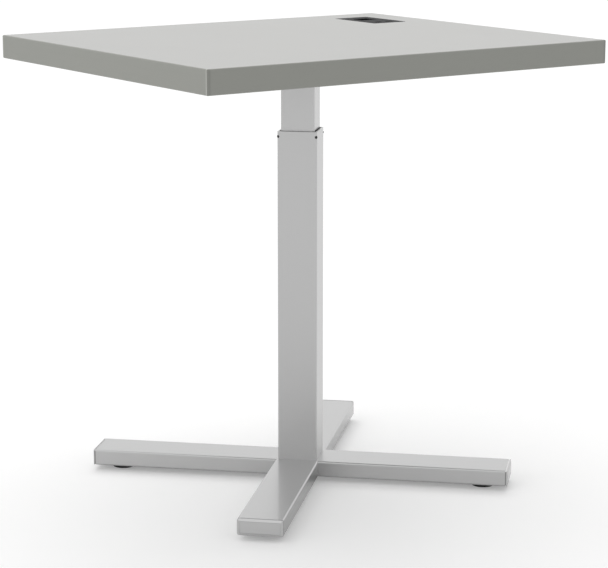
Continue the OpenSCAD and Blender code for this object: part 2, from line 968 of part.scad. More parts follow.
module pivot_pin() {
    reach = ear_y + ear_t;
    color(c_zinc)
        translate([lever_short, 0, pivot_z])
            rotate([90, 0, 0])
                difference() {
                    union() {
                        translate([0, 0, -reach - pin_tail])
                            cylinder(d = pivot_d, h = 2 * reach + pin_tail + over);
                        translate([0, 0, reach])
                            cylinder(d = pivot_d + 2 * pin_head_over, h = pin_head_t);
                    }
                    translate([0, 0, -reach - clip_seat - clip_t / 2 - fit_gap])
                        difference() {
                            cylinder(d = pivot_d + 2 * over, h = clip_t + 2 * fit_gap);
                            cylinder(d = pivot_d - clip_groove, h = clip_t + 2 * fit_gap);
                        }
                }
}

module pivot_clip() {
    reach = ear_y + ear_t;
    color(c_zinc)
        translate([lever_short, 0, pivot_z])
            rotate([90, 0, 0])
                translate([0, 0, -reach - clip_seat - clip_t / 2])
                    linear_extrude(clip_t)
                        difference() {
                            circle(d = clip_d);
                            circle(d = pivot_d - clip_groove + 2 * fit_gap);
                            translate([-clip_mouth / 2, 0]) square([clip_mouth, clip_d]);
                        }
}

module release_lever() {
    color(c_paint)
        translate([0, lever_w / 2, 0])
            rotate([90, 0, 0])
                linear_extrude(lever_w)
                    difference() {
                        union() {
                            polygon([
                                [-lever_nose, lever_under],
                                [joggle_at, lever_under],
                                [joggle_at + joggle_run, lever_under - joggle],
                                [lever_reach, lever_under - joggle],
                                [lever_reach, lever_top - joggle],
                                [joggle_at + joggle_run + joggle_shift, lever_top - joggle],
                                [joggle_at + joggle_shift, lever_top],
                                [nose_chamfer - lever_nose, lever_top],
                                [-lever_nose, lever_top - nose_chamfer]
                            ]);
                            translate([lever_short, pivot_z]) circle(r = pivot_r);
                        }
                        translate([lever_short, pivot_z]) circle(d = pivot_d + 2 * run_gap);
                    }
}

module lever_grip() {
    mid_z = lever_under - joggle + lever_t / 2;
    color(c_black)
        difference() {
            translate([grip_end - grip_l / 2, 0, mid_z - grip_t / 2])
                soft_slab(grip_l, grip_w, grip_t, grip_corner_r, grip_edge_r);
            translate([grip_end - grip_l - over, -lever_w / 2 - fit_gap, mid_z - lever_t / 2 - fit_gap])
                cube([grip_l - grip_end_wall + over, lever_w + 2 * fit_gap, lever_t + 2 * fit_gap]);
            translate([grip_end - grip_l / 2, grip_w, mid_z - grip_t / 2 - finger_r + finger_depth])
                rotate([90, 0, 0]) cylinder(r = finger_r, h = 2 * grip_w, $fn = 180);
        }
}

module lever_stop() {
    color(c_rubber)
        translate([bracket_len / 2 - stop_from_end, 0, web_top])
            cylinder(d1 = stop_foot_d, d2 = stop_top_d, h = lever_under - web_top - stop_clear);
}

// Base

module arm_section() {
    rounded_square(arm_w, arm_h, arm_r);
}

// A tube along +X that starts at x = 0, on the arm's centre line
module arm_tube(len) {
    rotate([90, 0, 90])
        linear_extrude(len)
            difference() {
                arm_section();
                rounded_square(arm_w - 2 * arm_wall, arm_h - 2 * arm_wall, arm_inner_r);
            }
}

module arm_solid(len) {
    rotate([90, 0, 90]) linear_extrude(len) arm_section();
}

module insert_hole() {
    translate([glide_at, 0, glide_h - over])
        cylinder(r = insert_r + fit_gap, h = arm_wall + 2 * over);
}

module base_rail() {
    color(c_paint)
        column_frame()
            difference() {
                translate([-tube_end, 0, arm_mid]) arm_tube(2 * tube_end);
                for (turn = [0, 180]) rotate([0, 0, turn]) insert_hole();
                at_foot_bolts() {
                    translate([0, 0, arm_top - 2 * arm_wall])
                        cylinder(d = foot_bolt_d + 2 * bolt_hole_gap, h = 2 * arm_wall + over);
                    translate([0, 0, glide_h - over]) cylinder(d = access_d, h = arm_wall + 2 * over);
                }
            }
}

// Each arm's inner end is coped round the rail's edges, so the crossing lies flush
module coped_arm(arm) {
    start = arm_w / 2 - arm_r;
    color(c_paint)
        at_arm(arm)
            difference() {
                translate([start, 0, arm_mid]) arm_tube(tube_end - start);
                rotate([0, 0, 90]) translate([-arm_w, 0, arm_mid]) arm_solid(2 * arm_w);
                insert_hole();
            }
}

module base_arm_left() { coped_arm("left"); }
module base_arm_right() { coped_arm("right"); }

module end_cap(arm) {
    plug_w = arm_w - 2 * arm_wall - 2 * slide_gap;
    plug_h = arm_h - 2 * arm_wall - 2 * slide_gap;
    plug_cell = plug_w / 3;
    color(c_paint)
        at_arm(arm)
            translate([tube_end, 0, arm_mid]) {
                cap_neck(cap_groove);
                difference() {
                    intersection() {
                        translate([cap_groove, 0, 0]) arm_solid(cap_t - cap_groove);
                        translate([0, 0, -arm_h]) linear_extrude(2 * arm_h) lid_outline(arm_w);
                        translate([0, arm_w, 0])
                            rotate([90, 0, 0]) linear_extrude(2 * arm_w) lid_outline(arm_h);
                    }
                    translate([cap_t - cap_line, 0, 0]) face_line(cap_line + over);
                }
                translate([-cap_plug, 0, 0])
                    rotate([90, 0, 90])
                        linear_extrude(cap_plug)
                            difference() {
                                rounded_square(plug_w, plug_h, bore_r);
                                for (sx = [-1, 0, 1])
                                    translate([sx * plug_cell, 0])
                                        rounded_square(
                                            plug_cell - cap_plug_wall,
                                            plug_h - 2 * cap_plug_wall,
                                            bore_r
                                        );
                            }
            }
}

// The lid seen from above or from the side, w wide: its outer edge is bevelled
module lid_outline(w) {
    bevel_start = cap_groove + cap_rim;
    polygon([
        [0, -w / 2],
        [bevel_start, -w / 2],
        [cap_t, cap_border - w / 2],
        [cap_t, w / 2 - cap_border],
        [bevel_start, w / 2],
        [0, w / 2]
    ]);
}

// The line round the flat of the lid's face, cut as deep as it is wide
module face_line(len) {
    w = arm_w - 2 * cap_border;
    h = arm_h - 2 * cap_border;
    rotate([90, 0, 90])
        linear_extrude(len)
            difference() {
                square([w, h], center = true);
                square([w - 2 * cap_line, h - 2 * cap_line], center = true);
            }
}

module cap_neck(len) {
    inset = 2 * cap_groove_deep;
    rotate([90, 0, 90])
        linear_extrude(len)
            rounded_square(arm_w - inset, arm_h - inset, arm_r - cap_groove_deep);
}

module end_cap_front() { end_cap("front"); }
module end_cap_back() { end_cap("back"); }
module end_cap_left() { end_cap("left"); }
module end_cap_right() { end_cap("right"); }

// Levelling glides

module glide_inserts() {
    bore = stem_d + 2 * run_gap;
    color(c_zinc)
        for (arm = ["front", "back", "left", "right"])
            at_arm(arm)
                translate([glide_at, 0, glide_h])
                    difference() {
                        union() {
                            cylinder(r = insert_r, h = insert_len);
                            translate([0, 0, -insert_flange_t])
                                cylinder(r = insert_flange_r, h = insert_flange_t);
                        }
                        translate([0, 0, -insert_flange_t - over])
                            cylinder(d = bore, h = insert_len + insert_flange_t + 2 * over);
                    }
}

// The pad is turned: a flared foot with a socket that traps the stem's disc
module glide_pad(arm) {
    r = pad_d / 2;
    neck = stem_d / 2 + neck_clear;
    color(c_rubber)
        at_arm(arm)
            translate([glide_at, 0, 0])
                difference() {
                    rotate_extrude()
                        polygon([
                            [0, 0],
                            [r - pad_chamfer, 0],
                            [r, pad_chamfer],
                            [r, pad_rim_h],
                            [r - pad_taper, pad_h - pad_chamfer],
                            [r - pad_taper - pad_chamfer, pad_h],
                            [0, pad_h]
                        ]);
                    translate([0, 0, stem_disc_z - socket_clear])
                        cylinder(r = stem_disc_r + socket_clear, h = stem_disc_t + 2 * socket_clear);
                    translate([0, 0, stem_disc_z]) cylinder(r = neck, h = pad_h);
                }
}

module glide_stem(arm) {
    color(c_zinc)
        at_arm(arm)
            translate([glide_at, 0, stem_disc_z]) {
                cylinder(r = stem_disc_r, h = stem_disc_t);
                cylinder(d = stem_d, h = stem_top - stem_disc_z);
            }
}

module glide_pad_front() { glide_pad("front"); }
module glide_pad_back() { glide_pad("back"); }
module glide_pad_left() { glide_pad("left"); }
module glide_pad_right() { glide_pad("right"); }
module glide_stem_front() { glide_stem("front"); }
module glide_stem_back() { glide_stem("back"); }
module glide_stem_left() { glide_stem("left"); }
module glide_stem_right() { glide_stem("right"); }

top_core();
top_laminate();
backer_sheet();
edge_band_front();
edge_band_back();
edge_band_left();
edge_band_right();
port_liner();
port_plate();
charging_module();
charging_sockets();
power_inlet();
port_clamps();
clamp_screws();
outer_tube();
inner_tube();
foot_plate();
foot_bolts();
upper_guide();
guide_pegs();
lower_guide();
gas_cylinder();
rod_guide();
piston_rod();
gas_piston();
valve_pin();
rod_nuts();
rod_bridge();
top_bracket();
bracket_screws();
lever_clevis();
clevis_rivets();
pivot_pin();
pivot_clip();
release_lever();
lever_grip();
lever_stop();
base_rail();
base_arm_left();
base_arm_right();
end_cap_front();
end_cap_back();
end_cap_left();
end_cap_right();
glide_inserts();
glide_pad_front();
glide_pad_back();
glide_pad_left();
glide_pad_right();
glide_stem_front();
glide_stem_back();
glide_stem_left();
glide_stem_right();
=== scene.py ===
"""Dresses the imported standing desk: the finish of every node, the turned, threaded and moulded
pieces whose detail the construction leaves out, and a plain pale studio with the photograph's
camera."""

import math

import bpy
import numpy as np
from bpy.props import FloatProperty, FloatVectorProperty, IntProperty, PointerProperty
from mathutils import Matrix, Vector


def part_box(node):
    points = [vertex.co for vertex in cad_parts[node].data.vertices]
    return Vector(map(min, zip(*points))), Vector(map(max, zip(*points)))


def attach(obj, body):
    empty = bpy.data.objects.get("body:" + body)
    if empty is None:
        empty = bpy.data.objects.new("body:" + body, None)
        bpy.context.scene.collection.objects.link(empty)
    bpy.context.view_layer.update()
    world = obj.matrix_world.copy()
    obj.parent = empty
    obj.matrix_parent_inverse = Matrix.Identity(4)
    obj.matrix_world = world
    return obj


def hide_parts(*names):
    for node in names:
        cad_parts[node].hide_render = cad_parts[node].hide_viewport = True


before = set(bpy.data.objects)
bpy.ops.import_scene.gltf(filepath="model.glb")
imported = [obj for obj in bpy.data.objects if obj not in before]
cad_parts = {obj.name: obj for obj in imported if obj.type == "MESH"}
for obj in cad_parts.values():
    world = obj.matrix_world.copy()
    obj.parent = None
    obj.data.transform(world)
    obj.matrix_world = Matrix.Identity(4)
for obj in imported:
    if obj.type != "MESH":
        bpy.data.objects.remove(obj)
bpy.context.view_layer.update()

bl_info = {
    "name": "Standing Desk Dressing",
    "version": (1, 0, 0),
    "blender": (4, 5, 0),
    "location": "View3D > Sidebar > Standing Desk",
    "description": "Finishes, fine pieces and a pale studio for a height-adjustable desk",
    "category": "Object",
}

MM = 0.001
SIDES = ("front", "back", "left", "right")
# Width of the photograph, in pixels
PICTURE_WIDTH = 608
# Bends sharper than this are edges
SHARP = math.radians(38)


def linear(red, green, blue):
    """A colour of 0 to 255 as it looks on a screen, in the linear values that shaders take."""
    shown = np.array([red, green, blue]) / 255
    return tuple(np.where(shown <= 0.04045, shown / 12.92, ((shown + 0.055) / 1.055) ** 2.4))


def number(label, description, default, **settings):
    """A number property."""
    return FloatProperty(name=label, description=description, default=default, **settings)


def length(label, description, default_mm):
    """A length property, given in millimetres and kept in metres."""
    return number(label, description, default_mm * MM, unit="LENGTH", min=0, precision=5)


def metres(label, description, default):
    """A length property, given in metres."""
    return number(label, description, default, unit="LENGTH")


def degrees(label, description, default):
    """An angle property, given in degrees and kept in radians."""
    return number(label, description, math.radians(default), subtype="ANGLE")


def whole(label, description, default):
    """A property of a whole number."""
    return IntProperty(name=label, description=description, default=default, min=0)


def vector(label, description, default, **settings):
    """A property of three numbers."""
    return FloatVectorProperty(name=label, description=description, default=default, **settings)


def colour(label, description, default):
    """A colour property, given as it looks on a screen."""
    return vector(label, description, linear(*default), subtype="COLOR", min=0, max=1)


def direction(label, description, default):
    """A direction property."""
    return vector(label, description, default, subtype="DIRECTION")


class DeskColours(bpy.types.PropertyGroup):
    """Colours of the finishes."""

    laminate: colour("Laminate", "Decorative sheet on the top", (190, 190, 188))
    band: colour("Edge band", "Band round the top", (150, 151, 145))
    # Colour of the bands' joint line: partly the band's own edge, partly a painted highlight
    seam: colour("Band seam", "Edge of a band where it meets the next one", (208, 209, 203))
    board: colour("Board", "Particleboard core", (181, 155, 115))
    backer: colour("Backer", "Balancing sheet under the top", (190, 190, 187))
    paint: colour("Silver paint", "Metallic coat on the column and the bracket", (189, 189, 189))
    # A lighter copy of the column's coat for the base: painted light, since both are the same coat
    base_paint: colour("Base paint", "The same coat, thicker on the base", (192, 192, 192))
    cap: colour("Cap plastic", "Silver plastic of the end caps", (199, 199, 199))
    zinc: colour("Zinc", "Plated screws, nuts and plates", (176, 180, 184))
    chrome: colour("Chrome", "Rod of the gas spring", (205, 207, 209))
    black: colour("Black paint", "Pressure tube of the gas spring", (22, 22, 23))
    plastic: colour("Black plastic", "Pegs, grip, glides and the port's module", (20, 20, 21))
    guide: colour("Guide plastic", "Machined guides between the tubes", (112, 112, 114))
    port: colour("Port plastic", "Flange and plate of the cable port", (52, 52, 53))
    rubber: colour("Rubber", "Rest under the lever", (17, 17, 17))


class DeskSizes(bpy.types.PropertyGroup):
    """Sizes of the small pieces, which the frame does not give."""

    seam_width: length("Band seam width", "Width of the line where two bands meet", 1.5)
    # Reach of the painted shade on a long band's end round a corner
    end_reach: length("Band end reach", "Reach of a long band's dull end round a corner", 3.6)
    groove_width: length("Cap groove", "Width of the groove between a tube and its end cap", 2.0)
    well_lip: length("Well lip", "Depth of the port's plastic that is as light as its face", 1.2)
    stem_diameter: length("Stem diameter", "Thread of a glide's stem", 8.0)
    stem_pitch: length("Stem pitch", "Pitch of a glide's thread", 1.25)
    disc_height: length("Disc height", "Thickness of the disc on a glide's stem", 3.0)
    pad_rim: length("Pad rim", "Height of the straight rim of a glide's pad", 3.0)
    pad_taper: length("Pad taper", "How far the pad narrows above its rim", 2.5)
    pad_flute: length("Pad flute", "Depth of the finger flutes round a pad", 0.7)
    pad_flutes: whole("Pad flutes", "Flutes round a pad", 20)
    bolt_diameter: length("Foot bolt diameter", "Thread of the bolts in the column's foot", 8.0)
    bolt_pitch: length("Foot bolt pitch", "Pitch of the foot bolts", 1.25)
    bolt_flats: length("Foot bolt head", "Width across the flats of a foot bolt", 13.0)
    bolt_head: length("Foot bolt head height", "Height of a foot bolt's head", 5.3)
    nut_bore: length("Rod nut bore", "Bore of the nuts on the rod", 10.0)
    screw_diameter: length("Wood screw diameter", "Thread of the bracket's wood screws", 4.6)
    screw_pitch: length("Wood screw pitch", "Pitch of the wood screws", 2.0)
    screw_head: length("Wood screw head height", "Height of a wood screw's head", 2.6)
    clamp_diameter: length("Clamp screw diameter", "Thread of the port's clamp screws", 4.0)
    clamp_pitch: length("Clamp screw pitch", "Pitch of the clamp screws", 0.7)
    clamp_head: length("Clamp screw head height", "Height of a clamp screw's head", 2.2)
    recess_width: length("Recess width", "Width of the slots in a cross recess", 1.0)
    recess_depth: length("Recess depth", "Depth of a cross recess", 1.5)
    rivet_diameter: length("Rivet diameter", "Shank of the bearing's rivets", 4.0)
    rivet_head: length("Rivet head height", "Height of a rivet's round head", 1.4)
    grip_groove: length("Grip groove", "Depth of the finger grooves under the grip", 0.9)
    grip_grooves: whole("Grip grooves", "Grooves under the grip", 4)


class DeskStudio(bpy.types.PropertyGroup):
    """Camera, lamps and floor."""

    azimuth: degrees("Azimuth", "Turn of the camera round the desk", -34.903)
    elevation: degrees("Elevation", "Height angle of the camera", 12.116)
    distance: metres("Distance", "Distance from the camera to its target", 3.5067)
    target_height: metres("Target height", "Height of the target on the desk's axis", 0.372)
    target_right: metres("Target right", "Target's offset to the right in the picture", 0.0057)
    target_up: metres("Target up", "Target's offset upwards in the picture", -0.0384)
    focal_pixels: number("Focal length in pixels", "In pixels of the photograph", 2097.8)
    sky: number("Sky", "Strength of the sky's soft light", 0.585)
    key: number("Key", "Strength of the key lamp, in watts on a square metre", 1.27)
    key_from: direction("Key from", "Where the key lamp shines from", (0.17, 0.35, 0.9))
    fill: number("Fill", "Strength of the fill lamp, in watts on a square metre", 0.68)
    fill_from: direction("Fill from", "Where the fill lamp shines from", (-0.95, -0.1, 0.3))
    lamp_spread: degrees("Lamp spread", "Spread of each lamp, which softens its shadows", 60)
    floor_albedo: number("Floor", "How much light the floor gives back", 0.8)
    floor_glow: number("Floor glow", "White added to the floor as the camera sees it", 0.235)
    glow_mirrored: number("Floor glow mirrored", "Share of the glow that reflections see", 0.4)
    floor_size: metres("Floor size", "Side of the floor", 60)


def desk_sizes():
    """The sizes of the small pieces."""
    return bpy.context.scene.desk_sizes


# Shapes: every new piece is a stack of rings


def numbered(rings):
    """The corners' numbers, ring by ring."""
    return np.arange(rings.shape[0] * rings.shape[1]).reshape(rings.shape[:2])


def walls(rings, next_rings):
    """Faces that join point j of each ring to point j + 1 of the next, from corners' numbers."""
    corners = [rings, np.roll(rings, -1, 1), np.roll(next_rings, -1, 1), next_rings]
    return np.stack(corners, 2).reshape(-1, 4).tolist()


def skin(rings):
    """Corners and faces of a closed solid from a stack of rings, of which the first and the last
    are closed by a fan to their mean point."""
    corners = np.concatenate([rings.reshape(-1, 3), [rings[0].mean(0), rings[-1].mean(0)]])
    numbers = numbered(rings)
    low, high = numbers[0], numbers[-1]
    middle = np.full(len(low), numbers.size)
    under = np.stack([middle, np.roll(low, -1), low], 1).tolist()
    over = np.stack([middle + 1, high, np.roll(high, -1)], 1).tolist()
    return corners, walls(numbers[:-1], numbers[1:]) + under + over


def loop_skin(rings):
    """As skin, but the last ring is joined to the first one, as in a nut."""
    numbers = numbered(rings)
    return rings.reshape(-1, 3), walls(numbers, np.roll(numbers, -1, 0))


def piece(name, solids, body, slot, *nodes):
    """One object from a list of (corners, faces), in place, in its slot's finish and smooth but
    for its sharp edges, riding on a body and standing for the nodes named."""
    corners, faces, first = [], [], 0
    for solid_corners, solid_faces in solids:
        corners.append(solid_corners)
        faces += [[corner + first for corner in face] for face in solid_faces]
        first += len(solid_corners)
    mesh = bpy.data.meshes.new(name)
    mesh.from_pydata(np.concatenate(corners).tolist(), [], faces)
    mesh.polygons.foreach_set("use_smooth", np.ones(len(faces), bool))
    mesh.set_sharp_from_angle(angle=SHARP)
    mesh.materials.append(finish(slot))
    made = bpy.data.objects.new(name, mesh)
    bpy.context.scene.collection.objects.link(made)
    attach(made, body)
    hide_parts(*nodes)


def circle(around):
    """Angles of the points round a ring."""
    return np.arange(around) * 2 * math.pi / around


def scaled_rings(radius, height, angle):
    """Rings from a radius for each height and angle."""
    height = np.broadcast_to(np.asarray(height)[:, None], radius.shape)
    return np.stack([radius * np.cos(angle), radius * np.sin(angle), height], 2)


def turned(profile, around):
    """Rings of a turned piece: each (radius, height) of the profile goes once round +Z."""
    radius, height = np.asarray(profile, float).T
    return scaled_rings(np.repeat(radius[:, None], around, 1), height, circle(around))


def thread(diameter, pitch, low, high, around):
    """Rings of a thread on +Z: the radius falls and rises as a triangle wave of height / pitch
    less the share of a turn, so the wave climbs one pitch a turn. It fades out at both ends."""
    per_turn, depth = 8, 0.6 * pitch
    height = np.linspace(low, high, max(2, round((high - low) / pitch * per_turn) + 1))
    angle = circle(around)
    phase = (height[:, None] / pitch - angle / (2 * math.pi)) % 1
    fade = np.clip(np.minimum(height - low, high - height) / pitch, 0, 1)[:, None]
    radius = diameter / 2 - depth * fade * np.abs(2 * phase - 1)
    return scaled_rings(radius, height, angle)


def hexagon(flats, high, both_ends, around):
    """Rings of a hexagon: its radius is half the flats over the cosine of the angle from the
    nearest flat's middle. A cone of 30 degrees, from a little inside the flats to a little beyond
    the corners, chamfers its low end or both ends."""
    inside, beyond, steps = 0.02, 1.05, 5
    angle = circle(around)
    sector = math.pi / 3
    plain = flats / 2 / np.cos((angle + sector / 2) % sector - sector / 2)
    over = (plain.max() - flats / 2) * beyond
    fall = over * math.tan(math.radians(30))
    height = np.unique([np.linspace(0, fall, steps), np.linspace(high - fall, high, steps)])
    start = flats / 2 - inside * over
    cone = start + height * over / fall
    if both_ends:
        cone = np.minimum(cone, start + (high - height) * over / fall)
    return scaled_rings(np.minimum(plain, cone[:, None]), height, angle)


def cross_head(radius, height, slot_width, depth):
    """Rings of a round-topped head, from its rim's foot to its middle. Above the rim the height
    follows a power of 1 less the squared share of the radius, less a cross whose two slots have
    sloping walls and ends."""
    foot, bevel, rim, power = 0.98, 0.12, 0.3, 0.7
    slot_walls, slot_ends = (0.45, 0.75), (0.46, 0.62)
    side = turned([(foot * radius, 0), (radius, bevel * height), (radius, rim * height)], 48)
    angle = circle(48)
    share = np.linspace(0.96, 0.02, 22)[:, None]
    x, y = radius * share * np.cos(angle), radius * share * np.sin(angle)
    dome = height * (rim + (1 - rim) * (1 - share**2) ** power)
    slot = np.interp(np.minimum(np.abs(x), np.abs(y)) / slot_width, slot_walls, (1, 0))
    end = np.interp(share, slot_ends, (1, 0))
    return np.concatenate([side, np.stack([x, y, dome - depth * slot * end], 2)])


def screw(kind, wide, high):
    """Rings of a screw of a kind along +Z with its head down: the head's recess, its rim, the
    thread and the point."""
    sizes = desk_sizes()
    names = (f"{kind}_{size}" for size in ("diameter", "pitch", "head"))
    diameter, pitch, head_height = (getattr(sizes, name) for name in names)
    neck_radius, point_radius = 0.45 * diameter, 0.12 * diameter
    head = cross_head(wide / 2, head_height, sizes.recess_width, sizes.recess_depth)[::-1]
    head[:, :, 2] = head_height - head[:, :, 2]
    around = head.shape[1]
    neck = turned([(neck_radius, head_height)], around)
    body = thread(diameter, pitch, head_height, high, around)
    point = turned([(point_radius, high)], around)
    rings = np.concatenate([head, neck, body, point])
    rings[:, :, 1] *= -1
    return rings[:, ::-1]


def wood_screw(span):
    """Rings of one of the bracket's screws."""
    return screw("screw", span[0], span[2])


def bolt(span):
    """Rings of a foot bolt: a hexagon head, then a thread."""
    sizes = desk_sizes()
    head = hexagon(sizes.bolt_flats, sizes.bolt_head, False, 48)
    shank = thread(sizes.bolt_diameter, sizes.bolt_pitch, sizes.bolt_head, span[2], 48)
    return np.concatenate([head, shank])


def nut(span):
    """Rings of a rod's nut, up its outside and down its bevelled bore."""
    high = span[2]
    bore = desk_sizes().nut_bore / 2
    mouth, bevel = 1.12 * bore, 0.08 * high
    inside = turned([(mouth, high), (bore, high - bevel), (bore, bevel), (mouth, 0)], 72)
    return np.concatenate([hexagon(min(span[:2]), high, True, 72), inside])


def rivet(span):
    """Rings of a rivet with two round heads: each head's radius follows a quarter circle of its
    height, from a small flat on."""
    sizes = desk_sizes()
    flat, high = 0.2, span[2]
    share = np.linspace(0, 1, 7)
    round_head = span[0] / 2 * np.sqrt(1 - (1 - flat**2) * (1 - share) ** 2)
    shank = sizes.rivet_diameter / 2
    low = np.stack([round_head, share * sizes.rivet_head], 1)
    top = np.stack([round_head[::-1], high - share[::-1] * sizes.rivet_head], 1)
    middle = [(shank, sizes.rivet_head), (shank, high - sizes.rivet_head)]
    return turned(np.concatenate([low, middle, top]), 32)


def finger_grip(low, high):
    """Rings of the grip along +X: each section is a superellipse whose half width and half
    thickness close to a round end, a little narrower at the lever, and whose underside rises in a
    row of cosine waves for the fingers."""
    section_power, plan_power, side_power, waist, fade_length = 3.4, 6, 8, 0.06, 0.2
    sizes = desk_sizes()
    middle, half = (low + high) / 2, (high - low) / 2
    share = np.sin(np.linspace(-math.pi / 2, math.pi / 2, 61))
    width = half[1] * (1 - np.abs(share) ** plan_power) ** (1 / plan_power)
    width *= 1 - waist * (share < 0) * share**2
    thick = half[2] * (1 - np.abs(share) ** side_power) ** (2 / side_power)
    angle = circle(48)
    across, up = (
        np.sign(part) * np.abs(part) ** (2 / section_power)
        for part in (np.cos(angle), np.sin(angle))
    )
    start = math.pi * (sizes.grip_grooves % 2 == 0)
    wave = 0.5 + 0.5 * np.cos(share * math.pi * sizes.grip_grooves + start)
    fade = np.clip((1 - np.abs(share)) / fade_length, 0, 1)
    rise = (sizes.grip_groove * wave * fade)[:, None] * np.clip(-up, 0, 1) ** 2
    x = np.broadcast_to((middle[0] + half[0] * share)[:, None], (len(share), len(angle)))
    y = middle[1] + width[:, None] * across
    z = middle[2] + thick[:, None] * up + rise
    return np.stack([x, y, z], 2)


def fluted_pad(pad_box, stem_box):
    """Rings of a pad: a turned profile from the middle of its hollow underside, out, up and in to
    the socket of the stem's disc. Round its side the radius falls by a power of a cosine, which
    cuts the flutes, as far as the third number of each point of the profile says."""
    around, flute_power = 160, 8
    clear, chamfer, hollow, pinhole = 0.2 * MM, 1.0 * MM, 0.6 * MM, 0.3 * MM
    sizes = desk_sizes()
    pad_width, _, high = spans(pad_box)
    radius = pad_width / 2
    shoulder = radius - sizes.pad_taper
    neck = sizes.stem_diameter / 2 + clear
    socket = spans(stem_box)[0] / 2 + clear
    disc_low = stem_box[0][2] - pad_box[0][2]
    floor, ceiling = disc_low - clear, disc_low + sizes.disc_height + clear
    profile = np.array(
        [
            (0.05 * radius, hollow, 0),
            (0.72 * radius, hollow, 0),
            (0.76 * radius, 0, 0),
            (radius - chamfer, 0, 0),
            (radius - 0.3 * chamfer, 0.3 * chamfer, 0.4),
            (radius, chamfer, 1),
            (radius, sizes.pad_rim, 1),
            (shoulder + 0.5 * chamfer, high - 2 * chamfer, 1),
            (shoulder - 0.3 * chamfer, high - 0.3 * chamfer, 0.4),
            (shoulder - chamfer, high, 0),
            (neck + 3 * clear, high, 0),
            (neck, high - 3 * clear, 0),
            (neck, ceiling, 0),
            (socket, ceiling, 0),
            (socket, floor, 0),
            (pinhole, floor, 0),
        ]
    )
    rings = turned(profile[:, :2], around)
    flute = np.abs(np.cos(circle(around) * sizes.pad_flutes / 2)) ** flute_power
    scale = 1 - profile[:, 2:] * flute * sizes.pad_flute / radius
    rings[:, :, :2] *= scale[:, :, None]
    return rings


def disc_stem(span):
    """Rings of a stem: a flat disc, then a thread up to a chamfered end."""
    foot, bevel, chamfer, tip = 0.97, 0.2 * MM, 1.0 * MM, 0.78
    sizes = desk_sizes()
    disc, shank, seat, high = span[0] / 2, sizes.stem_diameter / 2, sizes.disc_height, span[2]
    low = turned([(foot * disc, 0), (disc, bevel), (disc, seat), (shank, seat)], 32)
    body = thread(sizes.stem_diameter, sizes.stem_pitch, seat, high - chamfer, 32)
    return np.concatenate([low, body, turned([(tip * shank, high)], 32)])


def placed(rings, place, turn=None):
    """Rings turned by a 3 by 3 matrix and moved to a place."""
    if turn is not None:
        rings = rings @ np.asarray(turn, float).T
    return rings + np.asarray(place, float)


def axis_of(box):
    """Place on the floor plan of a box's middle, at the height of its underside."""
    low, high = np.array(box[0]), np.array(box[1])
    return np.array([(low[0] + high[0]) / 2, (low[1] + high[1]) / 2, low[2]])


def spans(box):
    """Width, depth and height of a box."""
    return np.array(box[1]) - np.array(box[0])


def solids_of(node):
    """Boxes of a node's separate solids. Corners at one place are made one, then every face gives
    its corners the lowest label among them until nothing changes, so each solid's corners end
    with one label."""
    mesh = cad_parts[node].data
    points = np.empty(len(mesh.vertices) * 3, np.float32)
    mesh.vertices.foreach_get("co", points)
    points = points.reshape(-1, 3).astype(float)
    mesh.calc_loop_triangles()
    corners = np.empty(len(mesh.loop_triangles) * 3, np.int32)
    mesh.loop_triangles.foreach_get("vertices", corners)
    one_place = 0.01 * MM
    places = (points / one_place).round().astype(np.int64)
    merged = np.unique(places, axis=0, return_inverse=True)[1].reshape(-1)
    triangles = merged[corners].reshape(-1, 3)
    label = np.arange(merged.max() + 1)
    while True:
        lowest = label[triangles].min(1)
        new = label.copy()
        np.minimum.at(new, triangles.ravel(), np.repeat(lowest, 3))
        if (new == label).all():
            break
        label = new
    own = label[merged]
    return [(points[own == k].min(0), points[own == k].max(0)) for k in np.unique(own)]


def each_solid(node, make, close=skin):
    """Solids in the place of a node's own ones, from rings made by the span of each one's box."""
    return [close(placed(make(spans(box)), axis_of(box))) for box in solids_of(node)]


# Finishes


def plug(tree, node, sockets):
    """Sets input sockets of a node to values, or links them to other sockets."""
    for name, value in sockets.items():
        if isinstance(value, bpy.types.NodeSocket):
            tree.links.new(value, node.inputs[name])
        else:
            node.inputs[name].default_value = value


def add(tree, kind, sockets, **settings):
    """A shader node of a kind in a tree, with its input sockets and its settings."""
    made = tree.nodes.new(f"ShaderNode{kind}")
    for name, value in settings.items():
        setattr(made, name, value)
    plug(tree, made, sockets)
    return made


def math_node(tree, operation, first, second=0.0, clamp=False):
    """The result of a sum of one or two values or sockets."""
    sockets = {0: first, 1: second}
    return add(tree, "Math", sockets, operation=operation, use_clamp=clamp).outputs[0]


def point_of(tree):
    """The shaded point in the object's own space."""
    return add(tree, "TexCoord", {}).outputs["Object"]


def coordinates(tree):
    """X, Y and Z of the shaded point in the object's own space."""
    return add(tree, "SeparateXYZ", {0: point_of(tree)}).outputs


def stretched(tree, stretch):
    """The shaded point with a scale for each axis."""
    sockets = {"Vector": point_of(tree), "Scale": stretch}
    return add(tree, "Mapping", sockets).outputs["Vector"]


def noise(tree, size, detail, roughness=0.5, stretch=None):
    """Noise with features of about a size in metres, longer along an axis that stretch scales
    down."""
    point = stretched(tree, stretch) if stretch else point_of(tree)
    scale = math_node(tree, "DIVIDE", 1.0, size)
    sockets = {"Vector": point, "Scale": scale, "Detail": detail, "Roughness": roughness}
    return add(tree, "TexNoise", sockets).outputs["Fac"]


def cells(tree, point, scale):
    """Distance to the middle of the nearest cell of a pattern, and a value of 0 to 1 for it."""
    pattern = add(tree, "TexVoronoi", {"Vector": point, "Scale": scale}).outputs
    parts = add(tree, "SeparateColor", {"Color": pattern["Color"]}).outputs
    return pattern["Distance"], parts["Red"]


def shaded(tree, base, shade):
    """A colour times a shade."""
    sockets = {0: base, "Scale": shade}
    return add(tree, "VectorMath", sockets, operation="SCALE").outputs["Vector"]


def bumped(tree, height, distance):
    """A normal from a height of 0 to 1 that stands for a distance in metres."""
    return add(tree, "Bump", {"Height": height, "Distance": distance}).outputs["Normal"]


